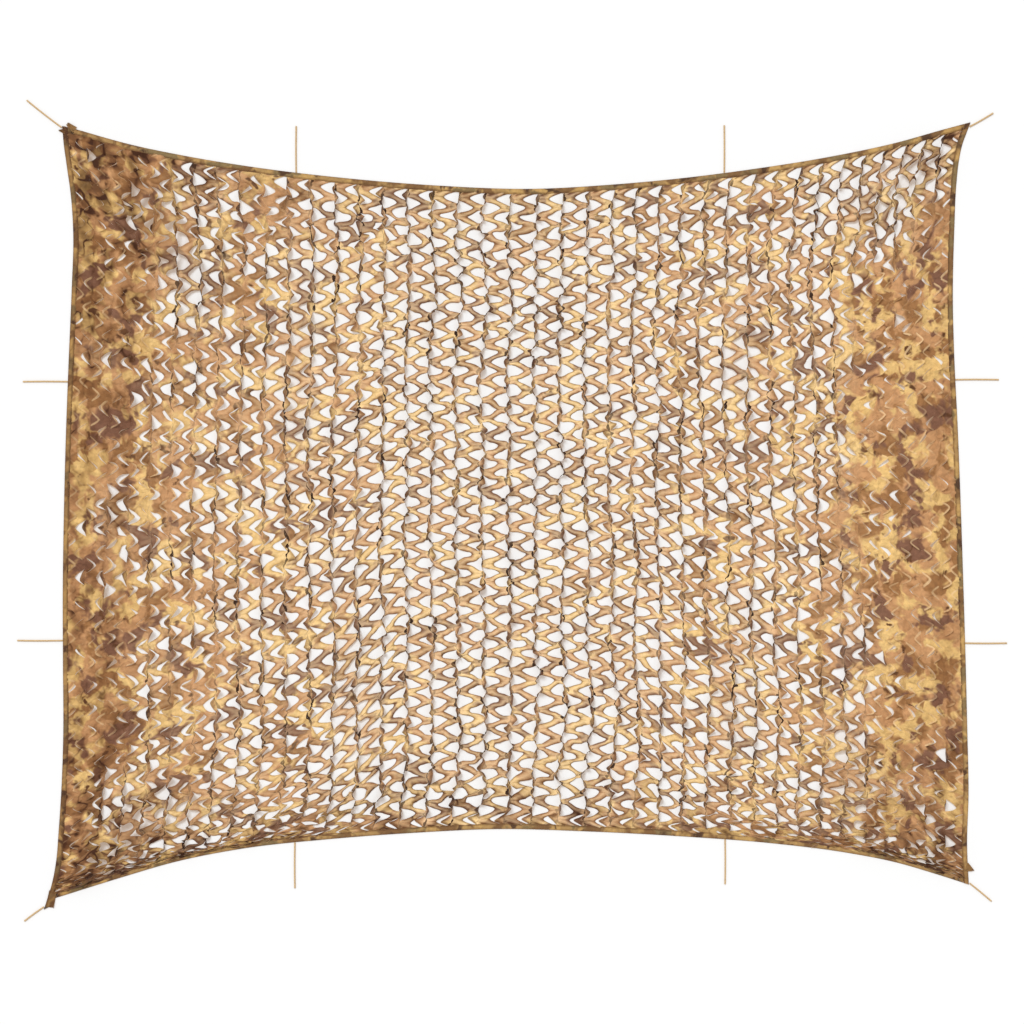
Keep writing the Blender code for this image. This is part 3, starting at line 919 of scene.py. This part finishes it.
stretched = np.clip(opened, 0, 1)
cut_edge_shade = np.where(pull_row > 1e-6, RIBBON_FOOT_EDGE_SHADE, RIBBON_TOP_EDGE_SHADE)
ribbon_edge_shade = np.where(is_middle, 0.0, cut_edge_shade) * stretched
standing = np.clip((np.degrees(angle) - 50) / 35, 0, 1)
flap_chance = FLAP_DARK_CHANCE * flap_random.normal(0, 1, flap_count)[flap_number]
flap_shade_and_tone = FLAP_DARK + STANDING_FLAP_SHADE * standing + flap_chance
darkness = np.where(is_flap, flap_shade_and_tone, ribbon_edge_shade) + darker_places(column, row)
darkness = np.clip(darkness + painted_crease_shade(place), 0, MOST_DARK)
print("mean darkness:", round(float(darkness.mean()), 2))

# %% How near each point lies to a cut edge
# One on the edge, less inside, and nought on the column line, where ribbon and flap hang together.
rim = np.where(is_flap, np.abs(t_side) + (column - spine) * side / SLIT_DEPTH, ~is_middle * 1.0)
rim = np.where((from_line < 1e-6) & ~is_flap, 0.0, rim)
print("points on a cut edge:", int((rim > 0.99).sum()))

# %% Make the net
net = mesh_object("net_cloth", np.column_stack((place, height)), cloth_faces, flat_place)
for kind, values in (("darkness", darkness), ("rim", rim), ("opened", stretched)):
    net.data.attributes.new(kind, "FLOAT", "POINT").data.foreach_set("value", values)
print("net mesh:", len(net.data.polygons))

# %% [markdown]
# ## The printed cloth
# The cloth is a matt woven polyester with a desert print: a tan ground under ochre, brown and grey
# mauve patches with soft edges, and a little dark brown. The patches are noise cut at a level, read
# from the cloth's own plane, so the print runs on over slits and flaps as it does on the real net.
# The cloth is thin, so some light comes through it from the floor.

# %% Node helpers
def node(tree, kind, settings=None, **inputs):
    """Add a node, with its settings and its input values or links."""
    made = tree.nodes.new(kind)
    for name, value in (settings or {}).items():
        setattr(made, name, value)
    for name, value in inputs.items():
        link_or_set(tree, made.inputs[name.replace("_", " ")], value)
    return made


def link_or_set(tree, socket, value):
    """Link a socket to another one, or give it a value."""
    if isinstance(value, bpy.types.NodeSocket):
        tree.links.new(value, socket)
    else:
        socket.default_value = value


def attribute(tree, name):
    """Read one of the piece's own attributes."""
    return node(tree, "ShaderNodeAttribute", {"attribute_name": name}).outputs["Fac"]


def calculate(tree, operation, first, second):
    """Add a Math node for two values or links."""
    made = node(tree, "ShaderNodeMath", {"operation": operation})
    link_or_set(tree, made.inputs[0], first)
    link_or_set(tree, made.inputs[1], second)
    return made.outputs[0]


def times(tree, first, *others):
    """Multiply values or links."""
    for other in others:
        first = calculate(tree, "MULTIPLY", first, other)
    return first


print("node helpers are ready")


# %% Colour helpers
def srgb(red, green, blue):
    """Turn a colour of 0 to 255 into the linear values that a shader takes."""
    parts = [channel / 255 for channel in (red, green, blue)]
    linear = [c / 12.92 if c <= 0.04045 else ((c + 0.055) / 1.055) ** 2.4 for c in parts]
    return (*linear, 1.0)


def blend(tree, share, under, over, how="MIX"):
    """Mix two colours by a share."""
    mix = tree.nodes.new("ShaderNodeMix")
    mix.data_type = "RGBA"
    mix.blend_type = how
    link_or_set(tree, mix.inputs[0], share)
    link_or_set(tree, mix.inputs[6], under)
    link_or_set(tree, mix.inputs[7], over)
    return mix.outputs[2]


def between(tree, value, low, high, out_low=0.0, out_high=1.0):
    """Map a value between two levels to a share, or to two other levels."""
    ramp = tree.nodes.new("ShaderNodeMapRange")
    ramp.interpolation_type = "SMOOTHSTEP"
    for socket, number in zip(ramp.inputs[1:5], (low, high, out_low, out_high)):
        socket.default_value = number
    tree.links.new(value, ramp.inputs[0])
    return ramp.outputs[0]


def noise(tree, where, scale, offset=(0.0, 0.0, 0.0), detail=2.0, roughness=0.5, distortion=0.0):
    """Give noise with the given number of lumps to a metre."""
    moved = node(tree, "ShaderNodeMapping", Vector=where, Location=offset)
    made = node(tree, "ShaderNodeTexNoise", Vector=moved.outputs[0], Scale=scale, Detail=detail,
                Roughness=roughness, Distortion=distortion)
    return made.outputs[0]


print("mid grey:", round(srgb(128, 128, 128)[0], 3))

# %% The print
NET_GROUND = srgb(190, 143, 98)
# Columns: colour, lumps to a metre, level, softness, offset.
NET_PATCHES = (
    (srgb(221, 185, 120), 7.5, 0.515, 0.038, (0.0, 0.0, 0.0)),
    (srgb(152, 108, 65), 8.5, 0.560, 0.034, (3.7, 1.2, 0.0)),
    (srgb(124, 86, 65), 7.0, 0.580, 0.030, (7.1, 4.4, 0.0)),
    (srgb(95, 59, 30), 12.0, 0.655, 0.035, (2.3, 8.6, 0.0)),
)

MOTTLE_LUMPS = 45.0
MOTTLE_DARK, MOTTLE_LIGHT = 0.84, 1.14


def print_colours(tree, where, ground, patches):
    """Build a camouflage print: a ground colour under sets of soft-edged patches."""
    colour = ground
    for tone, scale, level, soft, offset in patches:
        lumps = noise(tree, where, scale, offset, detail=3.0, roughness=0.55, distortion=0.35)
        colour = blend(tree, between(tree, lumps, level - soft, level + soft), colour, tone)
    mottle = noise(tree, where, MOTTLE_LUMPS, (1.0, 2.0, 0.0), detail=3.0, roughness=0.6)
    light = between(tree, mottle, 0.25, 0.75, MOTTLE_DARK, MOTTLE_LIGHT)
    grey = node(tree, "ShaderNodeCombineColor", Red=light, Green=light, Blue=light)
    return blend(tree, 1.0, colour, grey.outputs[0], "MULTIPLY")


print("patch colours:", len(NET_PATCHES))

# %% [markdown]
# ## The weave
# The cloth is an Oxford weave: pairs of threads that cross in tiny squares, which catch the light
# a little. Modelled threads would need millions of faces, so two sets of fine waves are crossed and
# used as a bump. Under the weave, larger soft noise gives the creases that folding has left.

# %% The weave
WEAVE_SCALE = 130.0
WEAVE_DEPTH = 0.0003


def woven_bump(tree, where, crease_lumps, crease_depth):
    """Give a normal with soft creases and, on top, the small squares of an Oxford weave."""
    creases = noise(tree, where, crease_lumps, (5.0, 1.0, 0.0), detail=1.5, roughness=0.5)
    crease_bump = node(tree, "ShaderNodeBump", Height=creases, Strength=1.0, Distance=crease_depth)
    weave = [node(tree, "ShaderNodeTexWave", {"bands_direction": direction}, Vector=where,
                  Scale=WEAVE_SCALE, Distortion=0.6, Detail=1.0).outputs["Fac"]
             for direction in ("X", "Y")]
    return node(tree, "ShaderNodeBump", Height=times(tree, *weave), Strength=0.25,
                Distance=WEAVE_DEPTH, Normal=crease_bump.outputs[0]).outputs[0]


print("weave depth:", WEAVE_DEPTH)

# %% [markdown]
# ## Painted light and shade of stretching
# Where a net is pulled open its cloth is painted paler, as painted light that is strongest in the
# middle of a ribbon, its cut edges get painted shade, and broken lines of painted shade run along
# the column lines, where the cloth is creased sharply. Where it is shut, the cut edges get a painted
# highlight. These marks are too fine for the mesh, so the material paints them, from two values that
# each point carries: how far the cloth is open there, and how near it lies to a cut.

# %% Painted light on open cloth, and on cut edges
# Painted light: open cloth is tinted paler and mixed towards a pale colour, most in the middle of a
# ribbon, as a painted highlight.
OPEN_CLOTH_PAINTED_LIGHT = (1.155, 1.22, 1.405, 1.0)
PAINTED_PALE_LIGHT = srgb(250, 222, 176)
# A painted highlight on the cut edges where the net is shut, and painted shade on them where it is
# open.
PAINTED_EDGE_HIGHLIGHT = srgb(232, 200, 153)
PAINTED_EDGE_SHADE = srgb(98, 56, 20)
DARK_EDGE_SHARE = 0.68


def paint_light_where_open(tree, colour, opened, rim):
    """Paint light on the cloth where it is pulled open, as a painted highlight most in the middle of
    a ribbon.
    """
    colour = blend(tree, opened, colour, OPEN_CLOTH_PAINTED_LIGHT, "MULTIPLY")
    share = times(tree, between(tree, opened, 0.0, 0.85), between(tree, rim, 0.0, 0.75, 0.46, 0.12))
    return blend(tree, share, colour, PAINTED_PALE_LIGHT)


def paint_cut_edge_light_and_shade(tree, where, colour, opened, rim):
    """Paint a highlight on the cut edges where the net is shut, and painted shade on them where it is
    open.
    """
    closed = calculate(tree, "SUBTRACT", 1.0, between(tree, opened, 0.10, 0.55))
    lit = between(tree, noise(tree, where, 6.0, (8.0, 5.0, 0.0)), 0.38, 0.58, 0.12, 0.68)
    light_share = times(tree, between(tree, rim, 0.80, 1.0), closed, lit)
    colour = blend(tree, light_share, colour, PAINTED_EDGE_HIGHLIGHT)
    dark_share = times(tree, between(tree, rim, 0.50, 0.95), between(tree, opened, 0.0, 0.85),
                       DARK_EDGE_SHARE)
    return blend(tree, dark_share, colour, PAINTED_EDGE_SHADE)


print("dark edge:", [round(part, 3) for part in PAINTED_EDGE_SHADE[:3]])

# %% Painted shade on column lines, and creases
# Painted shade along the column lines, where the cloth is creased sharply.
COLUMN_LINE_SHADE = srgb(52, 30, 14)


def paint_column_line_shade(tree, where, colour, opened):
    """Paint shade of uneven width along the column lines, where the cloth is creased sharply."""
    across = node(tree, "ShaderNodeSeparateXYZ", Vector=where).outputs[0]
    uneven = noise(tree, where, 26.0, (4.0, 6.0, 0.0), detail=1.0)
    columns = calculate(tree, "ADD", calculate(tree, "DIVIDE", across, COLUMN_PITCH),
                        between(tree, uneven, 0.2, 0.8, -0.10, 0.10))
    off_line = calculate(tree, "PINGPONG", columns, 0.5)
    width = between(tree, noise(tree, where, 34.0, (9.0, 2.0, 0.0)), 0.35, 0.68, 0.004, 0.085)
    strong = between(tree, noise(tree, where, 5.0, (2.0, 7.0, 0.0)), 0.40, 0.60, 0.35, 1.0)
    share = times(tree, calculate(tree, "LESS_THAN", off_line, width),
                  times(tree, between(tree, opened, 0.12, 0.45), strong))
    return blend(tree, share, colour, COLUMN_LINE_SHADE)


def stretch_light_and_shade(tree, where, colour):
    """Add the painted light and shade that stretching brings to the print's colours."""
    opened, rim = attribute(tree, "opened"), attribute(tree, "rim")
    colour = paint_light_where_open(tree, colour, opened, rim)
    colour = paint_cut_edge_light_and_shade(tree, where, colour, opened, rim)
    return paint_column_line_shade(tree, where, colour, opened)


def crease_marks(tree, where):
    """Give how shade gathers along creases: more than one on them, and less beside them."""
    folds = noise(tree, where, 12.0, (6.0, 3.0, 0.0), detail=1.0, roughness=0.5, distortion=0.15)
    off_crease = calculate(tree, "ABSOLUTE", calculate(tree, "SUBTRACT", folds, 0.5), 0.0)
    return between(tree, off_crease, 0.0, 0.055, 1.50, 0.88)


print("column lines lie", COLUMN_PITCH, "m apart on the flat cloth")

# %% Cloth material
# Shaded cloth first loses its blue and green, then goes dark brown.
SHADE_TINT = (1.0, 0.84, 0.66, 1.0)
SHADE_COLOUR = srgb(64, 31, 6)
CLOTH_ROUGHNESS = 0.82
CLOTH_GLOSS = 0.3
CLOTH_SHEEN = 0.12


def cloth_material(name, ground, patches, crease_lumps, crease_depth, see_through, is_net=False):
    """Make printed cloth that is darker where it is shaded and lets a little light through."""
    material = bpy.data.materials.new(name)
    material.use_nodes = True
    tree = material.node_tree
    shader = tree.nodes["Principled BSDF"]
    where = node(tree, "ShaderNodeUVMap", {"uv_map": "cloth_plane"}).outputs[0]
    colour = print_colours(tree, where, ground, patches)
    dark = attribute(tree, "darkness")
    if is_net:
        colour = stretch_light_and_shade(tree, where, colour)
        dark = times(tree, dark, crease_marks(tree, where))
    colour = blend(tree, dark, colour, SHADE_TINT, "MULTIPLY")
    colour = blend(tree, dark, colour, SHADE_COLOUR)
    tree.links.new(colour, shader.inputs["Base Color"])
    shader.inputs["Roughness"].default_value = CLOTH_ROUGHNESS
    shader.inputs["Specular IOR Level"].default_value = CLOTH_GLOSS
    shader.inputs["Sheen Weight"].default_value = CLOTH_SHEEN
    normal = woven_bump(tree, where, crease_lumps, crease_depth)
    tree.links.new(normal, shader.inputs["Normal"])
    through = node(tree, "ShaderNodeBsdfTranslucent", Color=colour)
    both = node(tree, "ShaderNodeMixShader")
    both.inputs[0].default_value = see_through
    tree.links.new(shader.outputs[0], both.inputs[1])
    tree.links.new(through.outputs[0], both.inputs[2])
    tree.links.new(both.outputs[0], tree.nodes["Material Output"].inputs["Surface"])
    return material


print("cloth roughness:", CLOTH_ROUGHNESS)

# %% Finish the net
cloth = cloth_material("camouflage_cloth", NET_GROUND, NET_PATCHES, crease_lumps=42.0,
                       crease_depth=0.012, see_through=0.26, is_net=True)
net.data.materials.append(cloth)
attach(net, "root")
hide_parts("net_panel")
print("nodes in the cloth:", len(cloth.node_tree.nodes))

# %% [markdown]
# ## The bound edges
# Each edge of the cloth lies in a strip of the same kind of cloth, folded double over it and sewn
# through with one row of stitches. The strip puckers a little between the stitches. A flat band
# bent round the curve would cut into the cloth, so the strip is one thin sheet with the section of
# a flattened U, swept along the edge. At each corner one strip runs over the end of its neighbour:
# the top strip at the top right, and a side strip at the others. The loose ends are crumpled.

# %% Strip sizes
# The folded section, from the lower inner edge round the fold: distance in from the edge, height,
# how dark. The darkness is painted shade: round the fold, in the furrow of the stitches and along
# the upper inner edge.
SECTION = (
    (0.0236, 0.0004, 0.50), (0.0120, 0.0003, 0.30), (0.0035, 0.0005, 0.30),
    (0.0010, 0.0013, 0.40), (0.0000, 0.0026, 0.45), (0.0010, 0.0040, 0.30),
    (0.0035, 0.0049, 0.10), (0.0085, 0.0053, 0.00), (0.0140, 0.0051, 0.00),
    (0.0178, 0.0045, 0.15), (0.0194, 0.0040, 0.50), (0.0210, 0.0045, 0.25),
    (0.0228, 0.0046, 0.45), (0.0240, 0.0036, 0.80),
)
STITCHED_POINT = 10
HEM_WIDTH = 0.024
STATION_STEP = 0.012
SEWN_APART = 0.0003
# At each corner one strip runs over the other: which it is, and how far its end stands out.
CORNER_STRIPS = {"top_left": ("left", 0.0), "top_right": ("top", 0.0),
                 "bottom_right": ("right", 0.0), "bottom_left": ("left", 0.030)}
NEIGHBOURS = {"top": ("left", "right"), "right": ("top", "bottom"),
              "bottom": ("right", "left"), "left": ("bottom", "top")}
print("stitches lie in from the edge by:", SECTION[STITCHED_POINT][0])


# %% The strip's ends
def edge_heading(name, share):
    """Give unit vectors along an edge and into the cloth."""
    step = 0.002
    share = np.asarray(share, float)
    along = (edge_point(name, np.minimum(share + step, 1))
             - edge_point(name, np.maximum(share - step, 0)))
    along = along / np.linalg.norm(along, axis=-1)[..., None]
    return along, np.stack((along[..., 1], -along[..., 0]), axis=-1)


def end_face(name, at_start):
    """Give the plane that cuts a strip's end, as a point in it and its normal."""
    corner = EDGES[name][0 if at_start else 1]
    neighbour = NEIGHBOURS[name][0 if at_start else 1]
    runs_over, stands_out = CORNER_STRIPS[corner]
    depth, shift = (0.0, -stands_out) if runs_over == name else (HEM_WIDTH, SEWN_APART)
    shares = np.array((0.985, 1.0) if at_start else (0.0, 0.015))
    line = edge_point(neighbour, shares) + edge_heading(neighbour, shares)[1] * depth
    along = (line[1] - line[0]) / np.linalg.norm(line[1] - line[0])
    inward = np.array((along[1], -along[0]))
    return line[0] + inward * shift, inward


print("the left strip starts at:", end_face("left", True)[0].round(3))

# %% The strip's shape
PUCKER, SIDE_WANDER = 0.0007, 0.0009
PUFFED_FROM, PUFFED_WITHIN = 0.003, 0.0022
LOWEST = 0.0002
# A strip's end is cut to the plane of its neighbour, and the stations beside it follow by degrees.
TRIMMED_STATIONS = 4


def strip_grid(name):
    """Give the strip's points as an array of stations by section, the way along it at each
    station, and its length."""
    fine = edge_point(name, np.linspace(0, 1, 400))
    length = float(np.linalg.norm(np.diff(fine, axis=0), axis=1).sum())
    share = np.linspace(0, 1, int(length / STATION_STEP))
    run = share * length
    along, inward = edge_heading(name, share)
    section = np.array(SECTION)
    line = np.column_stack((run, np.zeros(len(run))))
    pucker = waves(line, 0.034, 60 + len(name)) + 0.6 * waves(line, 0.090, 70 + len(name))
    wander = waves(line, 0.050, 80 + len(name))
    puffed = np.clip((section[:, 1] - PUFFED_FROM) / PUFFED_WITHIN, 0, 1)
    depth = section[:, 0][None] + SIDE_WANDER * wander[:, None] * (section[:, 0] / HEM_WIDTH)[None]
    flat = edge_point(name, share)[:, None] + inward[:, None] * depth[..., None]
    height = section[:, 1][None] + PUCKER * pucker[:, None] * puffed[None]
    for end, at_start in ((0, True), (-1, False)):
        point, normal = end_face(name, at_start)
        last, inner = flat[end], flat[end + TRIMMED_STATIONS * (1 if at_start else -1)]
        ahead = (inner - last) / np.linalg.norm(inner - last, axis=1)[:, None]
        off = ahead * (((point - last) @ normal) / (ahead @ normal))[:, None]
        cut = last + off
        for step in range(1, TRIMMED_STATIONS):
            station = end + step * (1 if at_start else -1)
            flat[station] = cut + off + (inner - cut - off) * step / TRIMMED_STATIONS
        flat[end] = cut
    return np.dstack((flat, np.maximum(height, LOWEST))), run, length


print("stations on the top strip:", len(strip_grid("top")[1]))

# %% The loose ends
# Where a strip's end is left loose: root, tip, width at both, seed.
LOOSE_ENDS = {
    "top": (((-1.9281, 1.7186), (-1.9625, 1.7463), 0.030, 0.015, 91),),
    "left": (((-1.9705, 1.7119), (-2.0017, 1.7173), 0.026, 0.003, 92),
             ((-2.0263, -1.6754), (-2.0401, -1.7468), 0.034, 0.035, 93)),
    "right": (((2.0457, -1.5684), (2.0814, -1.5831), 0.046, 0.002, 94),),
    "bottom": (),
}
LOOSE_ROWS, LOOSE_COLUMNS = 7, 9
LOOSE_HEIGHT = 0.0058
LOOSE_PLEAT = 0.0022
LOOSE_DARK = 0.45


def loose_end(root, tip, root_width, tip_width, seed):
    """Give a small crumpled end of cloth from root to tip, as a grid of points."""
    root, tip = np.array(root), np.array(tip)
    ahead = (tip - root) / np.linalg.norm(tip - root)
    aside = np.array((-ahead[1], ahead[0]))
    source = np.random.default_rng(seed)
    points = np.zeros((LOOSE_ROWS, LOOSE_COLUMNS, 3))
    for r in range(LOOSE_ROWS):
        share = r / (LOOSE_ROWS - 1)
        width = root_width + (tip_width - root_width) * share
        ragged = source.normal(0, 0.0012, LOOSE_COLUMNS) * share
        for c in range(LOOSE_COLUMNS):
            place = c / (LOOSE_COLUMNS - 1) - 0.5
            flat = root + (tip - root) * share + aside * width * place + ahead * ragged[c]
            pleat = math.sin(2 * math.pi * (place * 2.6 + 0.15 * r)) * (1 - 0.3 * share)
            points[r, c] = (*flat, LOOSE_HEIGHT + LOOSE_PLEAT * pleat + 0.0008 * source.normal())
    return points


print("loose ends:", sum(map(len, LOOSE_ENDS.values())))

# %% Strip cloth
STRIP_GROUND = srgb(155, 122, 75)
STRIP_PATCHES = (
    (srgb(178, 142, 85), 11.0, 0.52, 0.04, (0.0, 0.0, 0.0)),
    (srgb(115, 83, 48), 9.0, 0.53, 0.04, (3.7, 1.2, 0.0)),
    (srgb(122, 101, 65), 8.0, 0.58, 0.04, (7.1, 4.4, 0.0)),
    (srgb(74, 50, 30), 12.0, 0.61, 0.04, (2.3, 8.6, 0.0)),
)
strip_cloth = cloth_material("binding_cloth", STRIP_GROUND, STRIP_PATCHES, crease_lumps=40.0,
                             crease_depth=0.008, see_through=0.08)
print("nodes in the strips' cloth:", len(strip_cloth.node_tree.nodes))

# %% [markdown]
# ## The stitches
# One row of brown thread holds each strip down. A real lockstitch shows as short pieces of thread
# with a gap between them. One stitch is modelled: a three-sided tube whose two ends are
# drawn out to points that sink into the cloth. Its points are then copied along the strip, every
# copy turned the way that the seam runs. A few faces are enough for a thing this small.


# %% Spun fibre
def spun_fibre(name, place_kind, stretch, deep, pale):
    """Make a spun fibre, with streaks of two tones that also stand up a little. The place is read
    from a UV map, or from the piece's Object coordinates."""
    material = bpy.data.materials.new(name)
    material.use_nodes = True
    tree = material.node_tree
    if place_kind == "Object":
        where = node(tree, "ShaderNodeTexCoord").outputs["Object"]
    else:
        where = node(tree, "ShaderNodeUVMap", {"uv_map": place_kind}).outputs[0]
    streaked = node(tree, "ShaderNodeMapping", Vector=where, Scale=stretch).outputs[0]
    fibres = node(tree, "ShaderNodeTexNoise", Vector=streaked, Scale=1.0, Detail=2.0).outputs[0]
    colour = blend(tree, between(tree, fibres, 0.3, 0.7), deep, pale)
    shader = tree.nodes["Principled BSDF"]
    tree.links.new(colour, shader.inputs["Base Color"])
    shader.inputs["Roughness"].default_value = 0.7
    bump = node(tree, "ShaderNodeBump", Height=fibres, Strength=0.5, Distance=0.0004)
    tree.links.new(bump.outputs[0], shader.inputs["Normal"])
    return material


thread = spun_fibre("sewing_thread", "Object", stretch=(400.0, 400.0, 400.0),
                    deep=srgb(104, 78, 48), pale=srgb(136, 106, 68))
print("thread finish:", thread.name)

# %% Model one stitch
STITCH_LENGTH = 0.0052
STITCH_HALF_WIDTH = 0.00055
STITCH_TALL = 0.0005
STITCH_SUNK = 0.0003
TUBE_LENGTH = STITCH_LENGTH / 2

# The tube lies along x. Its section has one corner on top and two on the cloth.
bpy.ops.object.select_all(action="DESELECT")
bpy.ops.mesh.primitive_cylinder_add(
    vertices=3, radius=1.0, depth=TUBE_LENGTH, end_fill_type="TRIFAN",
    location=(0, 0, STITCH_TALL / 3), rotation=(math.pi / 2, 0, math.pi / 2),
    scale=(STITCH_HALF_WIDTH / math.sin(math.pi / 3), STITCH_TALL / 1.5, 1))
one_stitch = bpy.context.object
bpy.ops.object.transform_apply(location=True, rotation=True, scale=True)

# The middle of each end is drawn out and down to a point.
bpy.ops.object.mode_set(mode="EDIT")
edited = bmesh.from_edit_mesh(one_stitch.data)
for way in (-1, 1):
    bpy.ops.mesh.select_all(action="DESELECT")
    for point in edited.verts:
        end_middle = abs(point.co.y) < 1e-6 and point.co.z < STITCH_TALL / 2
        point.select_set(end_middle and point.co.x * way > 0)
    bpy.ops.transform.translate(value=(way * TUBE_LENGTH / 2, 0, -STITCH_TALL / 3 - STITCH_SUNK))
bpy.ops.object.mode_set(mode="OBJECT")
STITCH_POINTS = np.array([tuple(point.co) for point in one_stitch.data.vertices])
STITCH_FACES = [tuple(face.vertices) for face in one_stitch.data.polygons]
bpy.data.meshes.remove(one_stitch.data)
print("one stitch:", len(STITCH_POINTS), "points", len(STITCH_FACES), "faces")

# %% Sew a seam
STITCH_STEP = 0.008
SEAM_ENDS = 0.03
STITCH_RAISED = 0.0002


def copy_stitches(name, places, headings):
    """Copy the stitch to each place, turned to its heading, all in one mesh."""
    level = np.zeros(len(headings))
    ahead = np.column_stack((headings, level))
    aside = np.column_stack((-headings[:, 1], headings[:, 0], level))
    points = (places[:, None] + STITCH_POINTS[None, :, :1] * ahead[:, None]
              + STITCH_POINTS[None, :, 1:2] * aside[:, None])
    points[:, :, 2] += STITCH_POINTS[None, :, 2]
    faces = [tuple(corner + len(STITCH_POINTS) * number for corner in face)
             for number in range(len(places)) for face in STITCH_FACES]
    made = mesh_object(name, points.reshape(-1, 3), faces)
    made.data.materials.append(thread)
    return made


def sew_along(name, grid, run, length):
    """Sew a row of stitches along a strip."""
    count = int((length - 2 * SEAM_ENDS) / STITCH_STEP)
    shares = np.linspace(SEAM_ENDS / length, 1 - SEAM_ENDS / length, count)
    along, inward = edge_heading(name, shares)
    top = np.interp(shares * length, run, grid[:, STITCHED_POINT, 2]) + STITCH_RAISED
    flat = edge_point(name, shares) + inward * SECTION[STITCHED_POINT][0]
    return copy_stitches(f"binding_{name}_stitches", np.column_stack((flat, top)), along)


print("stitches to a metre:", round(1 / STITCH_STEP))

# %% Sew the strips
# How much darker each strip is, and how strips darken towards the corners.
STRIP_DARKER = {"top": 0.0, "right": 0.04, "bottom": 0.03, "left": 0.28}
CORNER_DARKER, CORNER_DARK_REACH = 0.32, 0.11
MOST_STRIP_DARK = 0.85
PRINT_SHIFT = 1.7

section = np.array(SECTION)
section_steps = np.linalg.norm(np.diff(section[:, :2], axis=0), axis=1)
section_run = np.concatenate(([0], np.cumsum(section_steps)))
for edge_name in EDGES:
    grid, run, length = strip_grid(edge_name)
    rows, columns = grid.shape[:2]
    points = grid.reshape(-1, 3)
    faces = grid_faces(rows, columns)
    uv = np.stack(np.broadcast_arrays(run[:, None], section_run[None]), axis=-1).reshape(-1, 2)
    from_corner = np.minimum(run, length - run)
    corner_dark = CORNER_DARKER * np.exp(-(from_corner / CORNER_DARK_REACH) ** 2)
    dark = np.tile(section[:, 2], rows) + STRIP_DARKER[edge_name] + np.repeat(corner_dark, columns)
    dark = np.clip(dark, 0, MOST_STRIP_DARK)
    for number, end in enumerate(LOOSE_ENDS[edge_name]):
        end_grid = loose_end(*end)
        faces += (np.array(grid_faces(LOOSE_ROWS, LOOSE_COLUMNS)) + len(points)).tolist()
        points = np.concatenate((points, end_grid.reshape(-1, 3)))
        end_uv = end_grid[..., :2].reshape(-1, 2) + number
        uv = np.concatenate((uv, end_uv))
        dark = np.concatenate((dark, np.full(len(end_uv), LOOSE_DARK)))
    uv = uv + len(edge_name) * PRINT_SHIFT
    strip = mesh_object(f"binding_{edge_name}_cloth", points, faces, uv)
    strip.data.attributes.new("darkness", "FLOAT", "POINT").data.foreach_set("value", dark)
    strip.data.materials.append(strip_cloth)
    stitches = sew_along(edge_name, grid, run, length)
    for piece in (strip, stitches):
        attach(piece, "root")
    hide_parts(f"binding_{edge_name}")
    print(edge_name, "strip length", round(length, 3), "faces", len(faces))

# %% [markdown]
# ## The ties' cord
# The cords are spun from tan fibre. Each strand's own plane runs along it and round it, so a noise
# drawn out along the strand gives streaks of fibre, both in tone and as a fine bump. The same
# finish, in smaller lumps and darker, was used for the sewing thread.

# %% Colour the ties
cord_fibre = spun_fibre("tie_cord", "cloth_plane", stretch=(120.0, 900.0, 1.0),
                        deep=srgb(168, 138, 96), pale=srgb(200, 170, 124))
for cord in ties:
    cord.data.materials.append(cord_fibre)
print("ties coloured:", len(ties))

# %% [markdown]
# ## Floor and light
# The net lies on a plain pale surface under soft light: an even white sky, and one sun lamp with a
# wide disc, so its shadows are soft, a little to the upper left. The floor glows faintly in a warm
# tone. A plain floor would go grey in the shade of the net's holes, and this one stays pale there.

# %% Floor
FLOOR_SIZE = 40
FLOOR_HEIGHT = -0.0004
FLOOR_COLOUR = (0.50, 0.56, 0.60, 1)
FLOOR_GLOW = (1.0, 0.66, 0.43, 1)
FLOOR_GLOW_STRENGTH = 0.263

bpy.ops.object.select_all(action="DESELECT")
bpy.ops.mesh.primitive_plane_add(size=FLOOR_SIZE, location=(0, 0, FLOOR_HEIGHT))
floor = bpy.context.object
floor.name = "floor"
white = bpy.data.materials.new("white_floor")
white.use_nodes = True
white_shader = white.node_tree.nodes["Principled BSDF"]
for socket_name, value in (("Base Color", FLOOR_COLOUR), ("Roughness", 0.9),
                           ("Specular IOR Level", 0.0), ("Emission Color", FLOOR_GLOW),
                           ("Emission Strength", FLOOR_GLOW_STRENGTH)):
    white_shader.inputs[socket_name].default_value = value
floor.data.materials.append(white)
print("floor:", FLOOR_SIZE, "metres wide")

# %% Light
SKY_STRENGTH = 0.86
KEY_STRENGTH = 2.28
KEY_ANGLE = math.radians(22)
KEY_PLACE = (-1.9, 3.5, 7.0)

world = bpy.data.worlds.new("world")
bpy.context.scene.world = world
world.use_nodes = True
sky = world.node_tree.nodes["Background"]
sky.inputs[0].default_value = (1, 1, 1, 1)
sky.inputs[1].default_value = SKY_STRENGTH
key_data = bpy.data.lights.new("key", "SUN")
key_data.energy = KEY_STRENGTH
key_data.angle = KEY_ANGLE
key = bpy.data.objects.new("key", key_data)
key.location = KEY_PLACE
key.rotation_euler = (-Vector(KEY_PLACE)).to_track_quat("-Z", "Y").to_euler()
bpy.context.collection.objects.link(key)
bpy.context.scene.view_settings.view_transform = "Standard"
print("lights: sky and", key.name)
